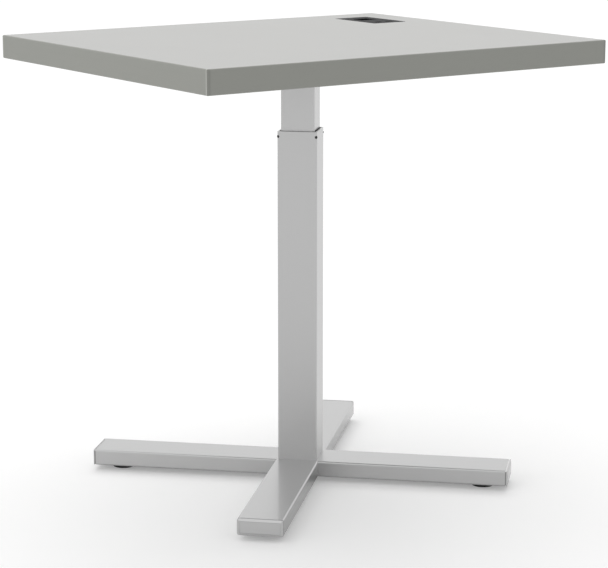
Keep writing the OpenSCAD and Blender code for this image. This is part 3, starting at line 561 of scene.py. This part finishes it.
def ranged(tree, value, low, high):
    """A value of 0 to 1 carried to the range from low to high."""
    sockets = {"Value": value, "To Min": low, "To Max": high}
    return add(tree, "MapRange", sockets).outputs["Result"]


def group_tree(name, inputs, outputs):
    """A new shader group with float inputs, given as name and default, and outputs: its tree, the
    sockets that it starts from and those that it ends in."""
    tree = bpy.data.node_groups.new(name, "ShaderNodeTree")
    for label, default in inputs:
        socket = tree.interface.new_socket(label, in_out="INPUT", socket_type="NodeSocketFloat")
        socket.default_value = default
    for label in outputs:
        tree.interface.new_socket(label, in_out="OUTPUT", socket_type="NodeSocketFloat")
    return tree, tree.nodes.new("NodeGroupInput").outputs, tree.nodes.new("NodeGroupOutput")


def mottle_group(name):
    """Shade near 1 that varies in small grains and in wide clouds, and the grain's height."""
    grains = [("Grain Size", 0.0006), ("Grain Strength", 0.05)]
    clouds = [("Cloud Size", 0.12), ("Cloud Strength", 0.03)]
    tree, given, out = group_tree(name, grains + clouds, ["Shade", "Height"])
    grain = noise(tree, given["Grain Size"], 2.0)
    cloud = noise(tree, given["Cloud Size"], 3.0)
    shade = 1.0
    for value, strength in ((grain, "Grain Strength"), (cloud, "Cloud Strength")):
        centred = math_node(tree, "SUBTRACT", value, 0.5)
        part = math_node(tree, "MULTIPLY", centred, given[strength])
        shade = math_node(tree, "ADD", shade, part)
    plug(tree, out, {"Shade": shade, "Height": grain})
    return tree


def powder_coat_group(name):
    """Powder coat: the soft waves of its skin as a height, and a mask of its metal flakes."""
    sizes = [("Wave Size", 0.0016), ("Flake Size", 0.0004), ("Flake Share", 0.3)]
    tree, given, out = group_tree(name, sizes, ["Height", "Flake"])
    scale = math_node(tree, "DIVIDE", 1.0, given["Flake Size"])
    _, value = cells(tree, point_of(tree), scale)
    limit = math_node(tree, "SUBTRACT", 1.0, given["Flake Share"])
    over = math_node(tree, "SUBTRACT", value, limit)
    flake = math_node(tree, "DIVIDE", over, given["Flake Share"], clamp=True)
    plug(tree, out, {"Height": noise(tree, given["Wave Size"], 1.0), "Flake": flake})
    return tree


def seam_group(name):
    """Masks of the joints across two opposite sides of a box round the origin. Line is 1 on the
    places where Y is Place either way, falls with the fourth power of the distance to 0 at half
    of Width from them, and is 0 where X is within Side either way. End is 1 beyond both Place and
    Side, and falls to 0 where X is Reach short of Side."""
    sizes = [("Place", 0.3), ("Width", 0.002), ("Side", 0.38), ("Reach", 0.004)]
    tree, given, out = group_tree(name, sizes, ["Line", "End"])
    x, y, _ = coordinates(tree)
    away = math_node(tree, "SUBTRACT", math_node(tree, "ABSOLUTE", y), given["Place"])
    reach = math_node(tree, "DIVIDE", math_node(tree, "ABSOLUTE", away), given["Width"])
    fall = math_node(tree, "POWER", math_node(tree, "MULTIPLY", reach, 2.0), 4.0)
    line = math_node(tree, "SUBTRACT", 1.0, fall, clamp=True)
    over = math_node(tree, "SUBTRACT", math_node(tree, "ABSOLUTE", x), given["Side"])
    beside = math_node(tree, "GREATER_THAN", over, 0.0)
    share = math_node(tree, "DIVIDE", over, given["Reach"])
    corner = math_node(tree, "ADD", share, 1.0, clamp=True)
    beyond = math_node(tree, "GREATER_THAN", away, 0.0)
    end = math_node(tree, "MULTIPLY", corner, beyond)
    plug(tree, out, {"Line": math_node(tree, "MULTIPLY", line, beside), "End": end})
    return tree


def groove_group(name):
    """Masks of four grooves across the arms of a cross that lies on the diagonals: the distance
    along the arms is the greater of X plus Y and X minus Y, taken without their signs, over the
    root of 2. A groove lies where this is between Place and Place plus Width. Side is 1 in its
    runs below Top, where the coat gets painted shade, and Crest in its run above, where it gets a
    painted highlight."""
    sizes = [("Place", 0.35), ("Width", 0.002), ("Top", 0.034)]
    tree, given, out = group_tree(name, sizes, ["Side", "Crest"])
    x, y, z = coordinates(tree)
    one_arm = math_node(tree, "ABSOLUTE", math_node(tree, "ADD", x, y))
    other_arm = math_node(tree, "ABSOLUTE", math_node(tree, "SUBTRACT", x, y))
    greater = math_node(tree, "MAXIMUM", one_arm, other_arm)
    reach = math_node(tree, "DIVIDE", greater, math.sqrt(2))
    depth = math_node(tree, "SUBTRACT", reach, given["Place"])
    begun = math_node(tree, "GREATER_THAN", depth, 0.0)
    not_over = math_node(tree, "LESS_THAN", depth, given["Width"])
    inside = math_node(tree, "MULTIPLY", begun, not_over)
    below = math_node(tree, "LESS_THAN", z, given["Top"])
    side = math_node(tree, "MULTIPLY", inside, below)
    plug(tree, out, {"Side": side, "Crest": math_node(tree, "SUBTRACT", inside, side)})
    return tree


def depth_group(name):
    """Mask of the depth below a level: 0 down to it, then rising to 1 over Fall."""
    tree, given, out = group_tree(name, [("Level", 0.7), ("Fall", 0.002)], ["Mask"])
    below = math_node(tree, "SUBTRACT", given["Level"], coordinates(tree)["Z"])
    plug(tree, out, {"Mask": math_node(tree, "DIVIDE", below, given["Fall"], clamp=True)})
    return tree


def edge_wear_group(name):
    """Mask of the edges: how far the surface's direction, rounded over a radius, leaves its own
    direction, broken up by noise."""
    tree, given, out = group_tree(name, [("Radius", 0.0008), ("Gain", 3.0)], ["Edge"])
    rounded = add(tree, "Bevel", {"Radius": given["Radius"]}, samples=4).outputs[0]
    own = add(tree, "NewGeometry", {}).outputs["Normal"]
    same = add(tree, "VectorMath", {0: rounded, 1: own}, operation="DOT_PRODUCT")
    bend = math_node(tree, "SUBTRACT", 1.0, same.outputs["Value"])
    edge = math_node(tree, "MULTIPLY", bend, given["Gain"], clamp=True)
    broken = noise(tree, 4 * MM, 3.0)
    plug(tree, out, {"Edge": math_node(tree, "MULTIPLY", edge, broken, clamp=True)})
    return tree


def use_group(tree, make, **values):
    """Outputs of a group in a material, with its inputs given by their names with _ for spaces.
    The group is named after its maker, and made the first time that it is asked for."""
    name = make.__name__.removesuffix("_group").replace("_", " ").title()
    known = bpy.data.node_groups.get(name)
    sockets = {label.replace("_", " ").title(): value for label, value in values.items()}
    node = add(tree, "Group", {}, node_tree=known or make(name))
    plug(tree, node, sockets)
    return node.outputs


def shader_of(tree):
    """A material's Principled shader."""
    return tree.nodes["Principled BSDF"]


def surface(tree, base, shade, roughness, normal, **others):
    """Gives a material its shaded colour, its roughness and its normal, and other inputs by their
    names with _ for spaces."""
    tone = shaded(tree, base, shade)
    plug(tree, shader_of(tree), {"Base Color": tone, "Roughness": roughness, "Normal": normal})
    for name, value in others.items():
        plug(tree, shader_of(tree), {name.replace("_", " "): value})


def colour_so_far(tree):
    """The socket that gives a material its colour."""
    return shader_of(tree).inputs["Base Color"].links[0].from_socket


def sheet(tree, base, roughness, grain, bump, gloss=0.2):
    """Plastic sheet: laminate, band or backer, with a fine grain and faint clouds."""
    sizes = {"grain_size": grain * MM, "grain_strength": 0.06, "cloud_strength": 0.03}
    mottle = use_group(tree, mottle_group, **sizes)
    spread = 0.05
    surface(
        tree,
        base,
        mottle["Shade"],
        ranged(tree, mottle["Height"], roughness - spread, roughness + spread),
        bumped(tree, mottle["Height"], bump * MM),
        Specular_IOR_Level=gloss,
    )


def edge_band(tree, base):
    """The edge band's sheet. The joint where the long bands cover the ends of the short ones is
    drawn as a lighter line, partly the band's own edge and partly a painted highlight, and the
    long bands' ends round the corners carry painted shade that stands for a dark reflection."""
    end_painted_shade = 0.8145
    sheet(tree, base, roughness=0.38, grain=0.5, bump=0.012, gloss=0.4)
    joint = use_group(tree, seam_group, **seam_sizes())
    # Painted shade on the long bands' ends round the corners, which stands for a dark reflection
    # there
    plain = shaded(tree, colour_so_far(tree), ranged(tree, joint["End"], 1.0, end_painted_shade))
    # The joint line's lighter colour is partly the band's own edge and partly a painted highlight
    seam = (*bpy.context.scene.desk_colours.seam, 1)
    mix = add(tree, "Mix", {"Factor": joint["Line"]}, data_type="RGBA")
    plug(tree, mix, {6: plain, 7: seam})
    plug(tree, shader_of(tree), {"Base Color": mix.outputs[2]})


def silver_paint(tree, base, roughness=0.32, groove=None):
    """Silver powder coat: metal flakes under a smooth clear skin, a little lighter where it thins
    at the edges. A groove gets painted shade in its sides and a painted highlight along its crest."""
    flake_light, edge_light, worn_coat = 0.03, 0.12, 0.2
    side_painted_shade, crest_painted_light = 0.5, 1.4
    sizes = {"wave_size": 2.2 * MM, "flake_size": 0.5 * MM, "flake_share": 0.25}
    powder = use_group(tree, powder_coat_group, **sizes)
    wear = use_group(tree, edge_wear_group, radius=1.2 * MM, gain=0.35)
    sizes = {"grain_size": 0.9 * MM, "grain_strength": 0.02, "cloud_strength": 0.012}
    mottle = use_group(tree, mottle_group, **sizes)
    flake = math_node(tree, "MULTIPLY", powder["Flake"], flake_light)
    edge = math_node(tree, "MULTIPLY", wear["Edge"], edge_light)
    light = math_node(tree, "ADD", flake, edge)
    shade = math_node(tree, "ADD", mottle["Shade"], light)
    # Painted shade in the groove's sides and a painted highlight along its crest
    if groove:
        runs = use_group(tree, groove_group, **groove)
        for run, run_painted_light in (("Side", side_painted_shade), ("Crest", crest_painted_light)):
            factor = ranged(tree, runs[run], 1.0, run_painted_light)
            shade = math_node(tree, "MULTIPLY", shade, factor)
    surface(
        tree,
        base,
        shade,
        ranged(tree, powder["Flake"], roughness, roughness + 0.05),
        bumped(tree, powder["Height"], 0.006 * MM),
        Metallic=1.0,
        Specular_Tint=(0.78, 0.78, 0.78, 1),
        Coat_Weight=ranged(tree, wear["Edge"], 1.0, worn_coat),
        Coat_Roughness=0.1,
    )


def silver_cap(tree, base):
    """The silver coat on plastic, with painted shade in the sides of the groove behind a cap and a
    painted highlight along its crest.
    """
    silver_paint(tree, base, 0.36, groove_sizes())


def metal(tree, base, roughness, along, groove):
    """Bare or plated metal with fine lines left by drawing or turning, whose scale along Z is
    given, and faint stains."""
    lines = noise(tree, 0.4 * MM, 3.0, 0.6, (1, 1, along))
    stains = noise(tree, 12 * MM, 3.0)
    surface(
        tree,
        base,
        ranged(tree, stains, 0.9, 1.08),
        ranged(tree, lines, 0.7 * roughness, 1.4 * roughness),
        bumped(tree, lines, groove * MM),
        Metallic=1.0,
    )


def moulded(tree, base, roughness, grain, bump, wear_light, gloss=0.5):
    """Moulded plastic or rubber: an etched grain, and edges rubbed a little lighter."""
    sizes = {"grain_size": grain * MM, "grain_strength": 0.25, "cloud_strength": 0.1}
    mottle = use_group(tree, mottle_group, **sizes)
    wear = use_group(tree, edge_wear_group, radius=0.6 * MM, gain=1.5)
    edge = math_node(tree, "MULTIPLY", wear["Edge"], wear_light)
    spread = 0.08
    surface(
        tree,
        base,
        math_node(tree, "ADD", mottle["Shade"], edge),
        ranged(tree, mottle["Height"], roughness - spread, roughness + spread),
        bumped(tree, mottle["Height"], bump * MM),
        Specular_IOR_Level=gloss,
    )


def port(tree, base):
    """The port's plastic, with painted shade inside the well below the level of its face: the
    shade falls along a straight line, which is then squared."""
    well_painted_shade = 0.12
    moulded(tree, base, roughness=0.65, grain=0.6, bump=0.03, wear_light=0.3, gloss=0.1)
    depth = use_group(tree, depth_group, level=well_level(), fall=1.0 * MM)
    # Painted shade in the well
    shade = math_node(tree, "POWER", ranged(tree, depth["Mask"], 1.0, well_painted_shade), 2.0)
    plug(tree, shader_of(tree), {"Base Color": shaded(tree, colour_so_far(tree), shade)})


def chipboard(tree, base):
    """Particleboard: flat chips as cells, each with its own shade."""
    chips_per_metre, flatness = 420.0, 3.0
    height, value = cells(tree, stretched(tree, (1.0, 1.0, flatness)), chips_per_metre)
    surface(
        tree,
        base,
        ranged(tree, value, 0.6, 1.2),
        ranged(tree, value, 0.7, 0.9),
        bumped(tree, height, 0.2 * MM),
    )


def seam_sizes():
    """Where the ends of the short bands lie, where the sides of the top start, the seam's width
    and the reach of the long bands' ends."""
    low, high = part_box("edge_band_right")
    sizes = desk_sizes()
    return {"place": high[1], "side": low[0], "width": sizes.seam_width, "reach": sizes.end_reach}


def groove_sizes():
    """Where the base's tubes end, measured along their diagonals, the width of the groove behind
    their caps, and the height up to which it is dark."""
    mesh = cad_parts["base_rail"].data
    points = np.empty(len(mesh.vertices) * 3, np.float32)
    mesh.vertices.foreach_get("co", points)
    x, y, z = points.reshape(-1, 3).T
    tube_end = np.maximum(np.abs(x + y), np.abs(x - y)).max() / math.sqrt(2)
    width = desk_sizes().groove_width
    return {"place": float(tube_end), "width": width, "top": float(z.max()) - width}


def well_level():
    """Height below which the port's plastic gets painted shade, the dark of its well."""
    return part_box("port_plate")[1][2] - desk_sizes().well_lip


# Name, maker, colour and settings of each finish, with sizes in millimetres. They carry the names
# of the record's material slots, and the base has a lighter copy of the column's coat, which is
# painted light
FINISHES = {
    "laminate": (
        "Grey Laminate",
        sheet,
        "laminate",
        {"roughness": 0.5, "grain": 0.7, "bump": 0.01},
    ),
    "edge_band": ("Grey Band", edge_band, "band", {}),
    "backer": ("Grey Backer", sheet, "backer", {"roughness": 0.6, "grain": 1.2, "bump": 0.03}),
    "board": ("Chipboard", chipboard, "board", {}),
    "painted_steel": ("Silver Powder Coat", silver_paint, "paint", {}),
    "lit_painted_steel": ("Silver Base Coat", silver_paint, "base_paint", {}),
    "cap_plastic": ("Silver Cap", silver_cap, "cap", {}),
    "zinc_steel": ("Zinc Plate", metal, "zinc", {"roughness": 0.3, "along": 0.3, "groove": 0.006}),
    "chrome_rod": ("Chrome", metal, "chrome", {"roughness": 0.08, "along": 12, "groove": 0.001}),
    "black_steel": (
        "Black Lacquer",
        moulded,
        "black",
        {"roughness": 0.25, "grain": 1.0, "bump": 0.008, "wear_light": 0.6},
    ),
    "black_plastic": (
        "Black Plastic",
        moulded,
        "plastic",
        {"roughness": 0.42, "grain": 0.6, "bump": 0.03, "wear_light": 0.8},
    ),
    "guide_plastic": (
        "Guide Plastic",
        moulded,
        "guide",
        {"roughness": 0.5, "grain": 0.8, "bump": 0.02, "wear_light": 0.2},
    ),
    "port_plastic": ("Port Plastic", port, "port", {}),
    "rubber": (
        "Rubber",
        moulded,
        "rubber",
        {"roughness": 0.7, "grain": 0.9, "bump": 0.04, "wear_light": 0.5},
    ),
}


def finish(key):
    """The material of a finish, made the first time that it is asked for."""
    name, make, tone, settings = FINISHES[key]
    made = bpy.data.materials.get(name)
    if not made:
        made = bpy.data.materials.new(name)
        made.use_nodes = True
        make(made.node_tree, getattr(bpy.context.scene.desk_colours, tone), **settings)
    return made


def dress(key, *nodes):
    """Puts a finish in every material slot of the CAD nodes named."""
    for node in nodes:
        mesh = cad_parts[node].data
        for index in range(len(mesh.materials)):
            mesh.materials[index] = finish(key)


# Pieces


class DeskOperator:
    """What every operator of the desk shares."""

    bl_options = {"REGISTER", "UNDO"}


class DESK_OT_worktop(DeskOperator, bpy.types.Operator):
    """Finish the top, its bands and the sheet under it"""

    bl_idname = "desk.worktop"
    bl_label = "Worktop"

    def execute(self, context):
        dress("laminate", "top_laminate")
        dress("board", "top_core")
        dress("backer", "backer_sheet")
        dress("edge_band", *(f"edge_band_{side}" for side in SIDES))
        return {"FINISHED"}


class DESK_OT_port(DeskOperator, bpy.types.Operator):
    """Finish the cable port and make its clamp screws"""

    bl_idname = "desk.port"
    bl_label = "Cable port"

    def execute(self, context):
        dress("port_plastic", "port_liner", "port_plate")
        dress("black_plastic", "charging_module", "power_inlet")
        dress("zinc_steel", "charging_sockets", "port_clamps")
        middle = axis_of(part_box("port_liner"))[1]
        screws = []
        for low, high in solids_of("clamp_screws"):
            wide, long, _ = high - low
            x, _, z = (low + high) / 2
            back = low[1] > middle
            inwards = -1 if back else 1
            turn = [[inwards, 0, 0], [0, 0, inwards], [0, 1, 0]]
            foot = (x, high[1] if back else low[1], z)
            screws.append(skin(placed(screw("clamp", wide, long), foot, turn)))
        piece("clamp_screw_set", screws, "worktop", "zinc_steel", "clamp_screws")
        return {"FINISHED"}


class DESK_OT_column(DeskOperator, bpy.types.Operator):
    """Finish the two tubes, their guides and pegs, and make the foot bolts"""

    bl_idname = "desk.column"
    bl_label = "Column"

    def execute(self, context):
        dress("painted_steel", "outer_tube", "inner_tube")
        dress("guide_plastic", "upper_guide", "lower_guide")
        dress("black_plastic", "guide_pegs")
        dress("zinc_steel", "foot_plate")
        bolts = each_solid("foot_bolts", bolt)
        piece("foot_bolt_set", bolts, "base", "zinc_steel", "foot_bolts")
        return {"FINISHED"}


class DESK_OT_gas_spring(DeskOperator, bpy.types.Operator):
    """Finish the gas spring and make the nuts on its rod"""

    bl_idname = "desk.gas_spring"
    bl_label = "Gas spring"

    def execute(self, context):
        dress("black_steel", "gas_cylinder")
        dress("zinc_steel", "rod_guide", "rod_bridge", "valve_pin")
        dress("chrome_rod", "piston_rod")
        dress("black_plastic", "gas_piston")
        nuts = each_solid("rod_nuts", nut, loop_skin)
        piece("rod_nut_set", nuts, "worktop", "zinc_steel", "rod_nuts")
        return {"FINISHED"}


class DESK_OT_bracket(DeskOperator, bpy.types.Operator):
    """Finish the bracket and make its wood screws"""

    bl_idname = "desk.bracket"
    bl_label = "Bracket and screws"

    def execute(self, context):
        dress("painted_steel", "top_bracket")
        screws = each_solid("bracket_screws", wood_screw)
        piece("bracket_screw_set", screws, "worktop", "zinc_steel", "bracket_screws")
        return {"FINISHED"}


class DESK_OT_lever(DeskOperator, bpy.types.Operator):
    """Finish the release lever and its bearing, and make its grip and rivets"""

    bl_idname = "desk.lever"
    bl_label = "Release lever"

    def execute(self, context):
        dress("painted_steel", "release_lever")
        dress("zinc_steel", "lever_clevis", "pivot_pin", "pivot_clip")
        dress("rubber", "lever_stop")
        rivets = each_solid("clevis_rivets", rivet)
        piece("clevis_rivet_set", rivets, "worktop", "zinc_steel", "clevis_rivets")
        grip = skin(finger_grip(*np.array(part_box("lever_grip"))))
        piece("finger_grip", [grip], "lever", "black_plastic", "lever_grip")
        return {"FINISHED"}


class DESK_OT_base(DeskOperator, bpy.types.Operator):
    """Finish the tubes of the base and their end caps"""

    bl_idname = "desk.base"
    bl_label = "Base"

    def execute(self, context):
        # The base's coat is a lighter copy of the column's one: painted light on the base
        dress("lit_painted_steel", "base_rail", "base_arm_left", "base_arm_right")
        dress("cap_plastic", *(f"end_cap_{side}" for side in SIDES))
        dress("zinc_steel", "glide_inserts")
        return {"FINISHED"}


class DESK_OT_glides(DeskOperator, bpy.types.Operator):
    """Make the four levelling glides: fluted pads on threaded stems"""

    bl_idname = "desk.glides"
    bl_label = "Levelling glides"

    def execute(self, context):
        for side in SIDES:
            pad_node, stem_node = f"glide_pad_{side}", f"glide_stem_{side}"
            pad_box, stem_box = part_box(pad_node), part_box(stem_node)
            pad = skin(placed(fluted_pad(pad_box, stem_box), axis_of(pad_box)))
            stem = skin(placed(disc_stem(spans(stem_box)), axis_of(stem_box)))
            piece(f"pad_{side}", [pad], f"glide_{side}", "black_plastic", pad_node)
            piece(f"stem_{side}", [stem], f"stem_{side}", "zinc_steel", stem_node)
        return {"FINISHED"}


# Studio


class DESK_OT_stage(DeskOperator, bpy.types.Operator):
    """Lay the floor, hang the lamps and set the camera at the photograph's angle"""

    bl_idname = "desk.stage"
    bl_label = "Studio and camera"

    def execute(self, context):
        studio = context.scene.desk_studio
        lay_floor(studio)
        light_sky(context.scene, studio)
        hang_lamp("key", studio.key, studio.key_from, studio.lamp_spread)
        hang_lamp("fill", studio.fill, studio.fill_from, studio.lamp_spread)
        set_camera(context.scene, studio)
        context.scene.view_settings.view_transform = "Standard"
        return {"FINISHED"}


def seen_directly(tree, mirrored=1.0):
    """One for rays of the camera and through glass, a share for reflections, and nought for the
    rest."""
    path = add(tree, "LightPath", {}).outputs
    glossy = math_node(tree, "MULTIPLY", path["Is Glossy Ray"], mirrored)
    either = math_node(tree, "MAXIMUM", path["Is Camera Ray"], glossy)
    return math_node(tree, "MAXIMUM", either, path["Is Transmission Ray"])


def lay_floor(studio):
    """A flat square floor that takes shadows, looks white where it is seen, and is clear from
    below."""
    half = studio.floor_size / 2
    mesh = bpy.data.meshes.new("floor")
    corners = [(-half, -half, 0), (half, -half, 0), (half, half, 0), (-half, half, 0)]
    mesh.from_pydata(corners, [], [(0, 1, 2, 3)])
    made = bpy.data.materials.new("Pale Floor")
    made.use_nodes = True
    tree = made.node_tree
    tree.nodes.clear()
    matt = add(tree, "BsdfDiffuse", {"Color": (studio.floor_albedo,) * 3 + (1,)}).outputs[0]
    seen = seen_directly(tree, studio.glow_mirrored)
    glow = math_node(tree, "MULTIPLY", seen, studio.floor_glow)
    white = add(tree, "Emission", {"Strength": glow}).outputs[0]
    both = add(tree, "AddShader", {0: matt, 1: white}).outputs[0]
    clear = add(tree, "BsdfTransparent", {}).outputs[0]
    below = add(tree, "NewGeometry", {}).outputs["Backfacing"]
    either = add(tree, "MixShader", {0: below, 1: both, 2: clear}).outputs[0]
    add(tree, "OutputMaterial", {"Surface": either})
    mesh.materials.append(made)
    floor = bpy.data.objects.new("floor", mesh)
    bpy.context.scene.collection.objects.link(floor)


def light_sky(scene, studio):
    """An even sky: white where it is seen, and softer as the light that it casts."""
    world = bpy.data.worlds.new("Pale Sky")
    world.use_nodes = True
    tree = world.node_tree
    strength = ranged(tree, seen_directly(tree), studio.sky, 1.0)
    plug(tree, tree.nodes["Background"], {"Color": (1, 1, 1, 1), "Strength": strength})
    scene.world = world


def hang_lamp(name, strength, shines_from, spread):
    """A wide and distant lamp that reflections do not show."""
    lamp = bpy.data.lights.new(name, "SUN")
    lamp.energy = strength
    lamp.angle = spread
    made = bpy.data.objects.new(name, lamp)
    made.rotation_mode = "QUATERNION"
    made.rotation_quaternion = Vector(shines_from).to_track_quat("Z", "Y")
    made.visible_glossy = False
    bpy.context.scene.collection.objects.link(made)


def set_camera(scene, studio):
    """The camera from its angles, its distance and its target, with a lens for a picture of the
    photograph's width."""
    turn, rise = studio.azimuth, studio.elevation
    level = math.cos(rise)
    back = Vector((math.sin(turn) * level, -math.cos(turn) * level, math.sin(rise)))
    right = Vector((math.cos(turn), math.sin(turn), 0))
    up = back.cross(right)
    axis = Vector((0, 0, studio.target_height))
    target = axis + right * studio.target_right + up * studio.target_up
    camera = bpy.data.cameras.new("camera")
    camera.lens = studio.focal_pixels * camera.sensor_width / PICTURE_WIDTH
    made = bpy.data.objects.new("camera", camera)
    made.location = target + back * studio.distance
    made.rotation_mode = "QUATERNION"
    made.rotation_quaternion = (-back).to_track_quat("-Z", "Y")
    scene.collection.objects.link(made)
    scene.camera = made


class DESK_PT_dressing(bpy.types.Panel):
    """The desk's operators, in the order in which they run"""

    bl_idname = "DESK_PT_dressing"
    bl_label = "Standing Desk"
    bl_space_type = "VIEW_3D"
    bl_region_type = "UI"
    bl_category = "Standing Desk"

    def draw(self, context):
        for operator in OPERATORS:
            self.layout.operator(operator.bl_idname)


OPERATORS = (
    DESK_OT_stage,
    DESK_OT_worktop,
    DESK_OT_port,
    DESK_OT_column,
    DESK_OT_gas_spring,
    DESK_OT_bracket,
    DESK_OT_lever,
    DESK_OT_base,
    DESK_OT_glides,
)
GROUPS = {"desk_colours": DeskColours, "desk_sizes": DeskSizes, "desk_studio": DeskStudio}


def register():
    for cls in (*GROUPS.values(), *OPERATORS, DESK_PT_dressing):
        bpy.utils.register_class(cls)
    for name, cls in GROUPS.items():
        setattr(bpy.types.Scene, name, PointerProperty(type=cls))


def unregister():
    for name in GROUPS:
        delattr(bpy.types.Scene, name)
    for cls in (DESK_PT_dressing, *reversed(OPERATORS), *reversed(GROUPS.values())):
        bpy.utils.unregister_class(cls)


def main():
    """Runs every operator in order."""
    register()
    for operator in OPERATORS:
        group_name, name = operator.bl_idname.split(".")
        getattr(getattr(bpy.ops, group_name), name)()


if __name__ == "__main__":
    main()
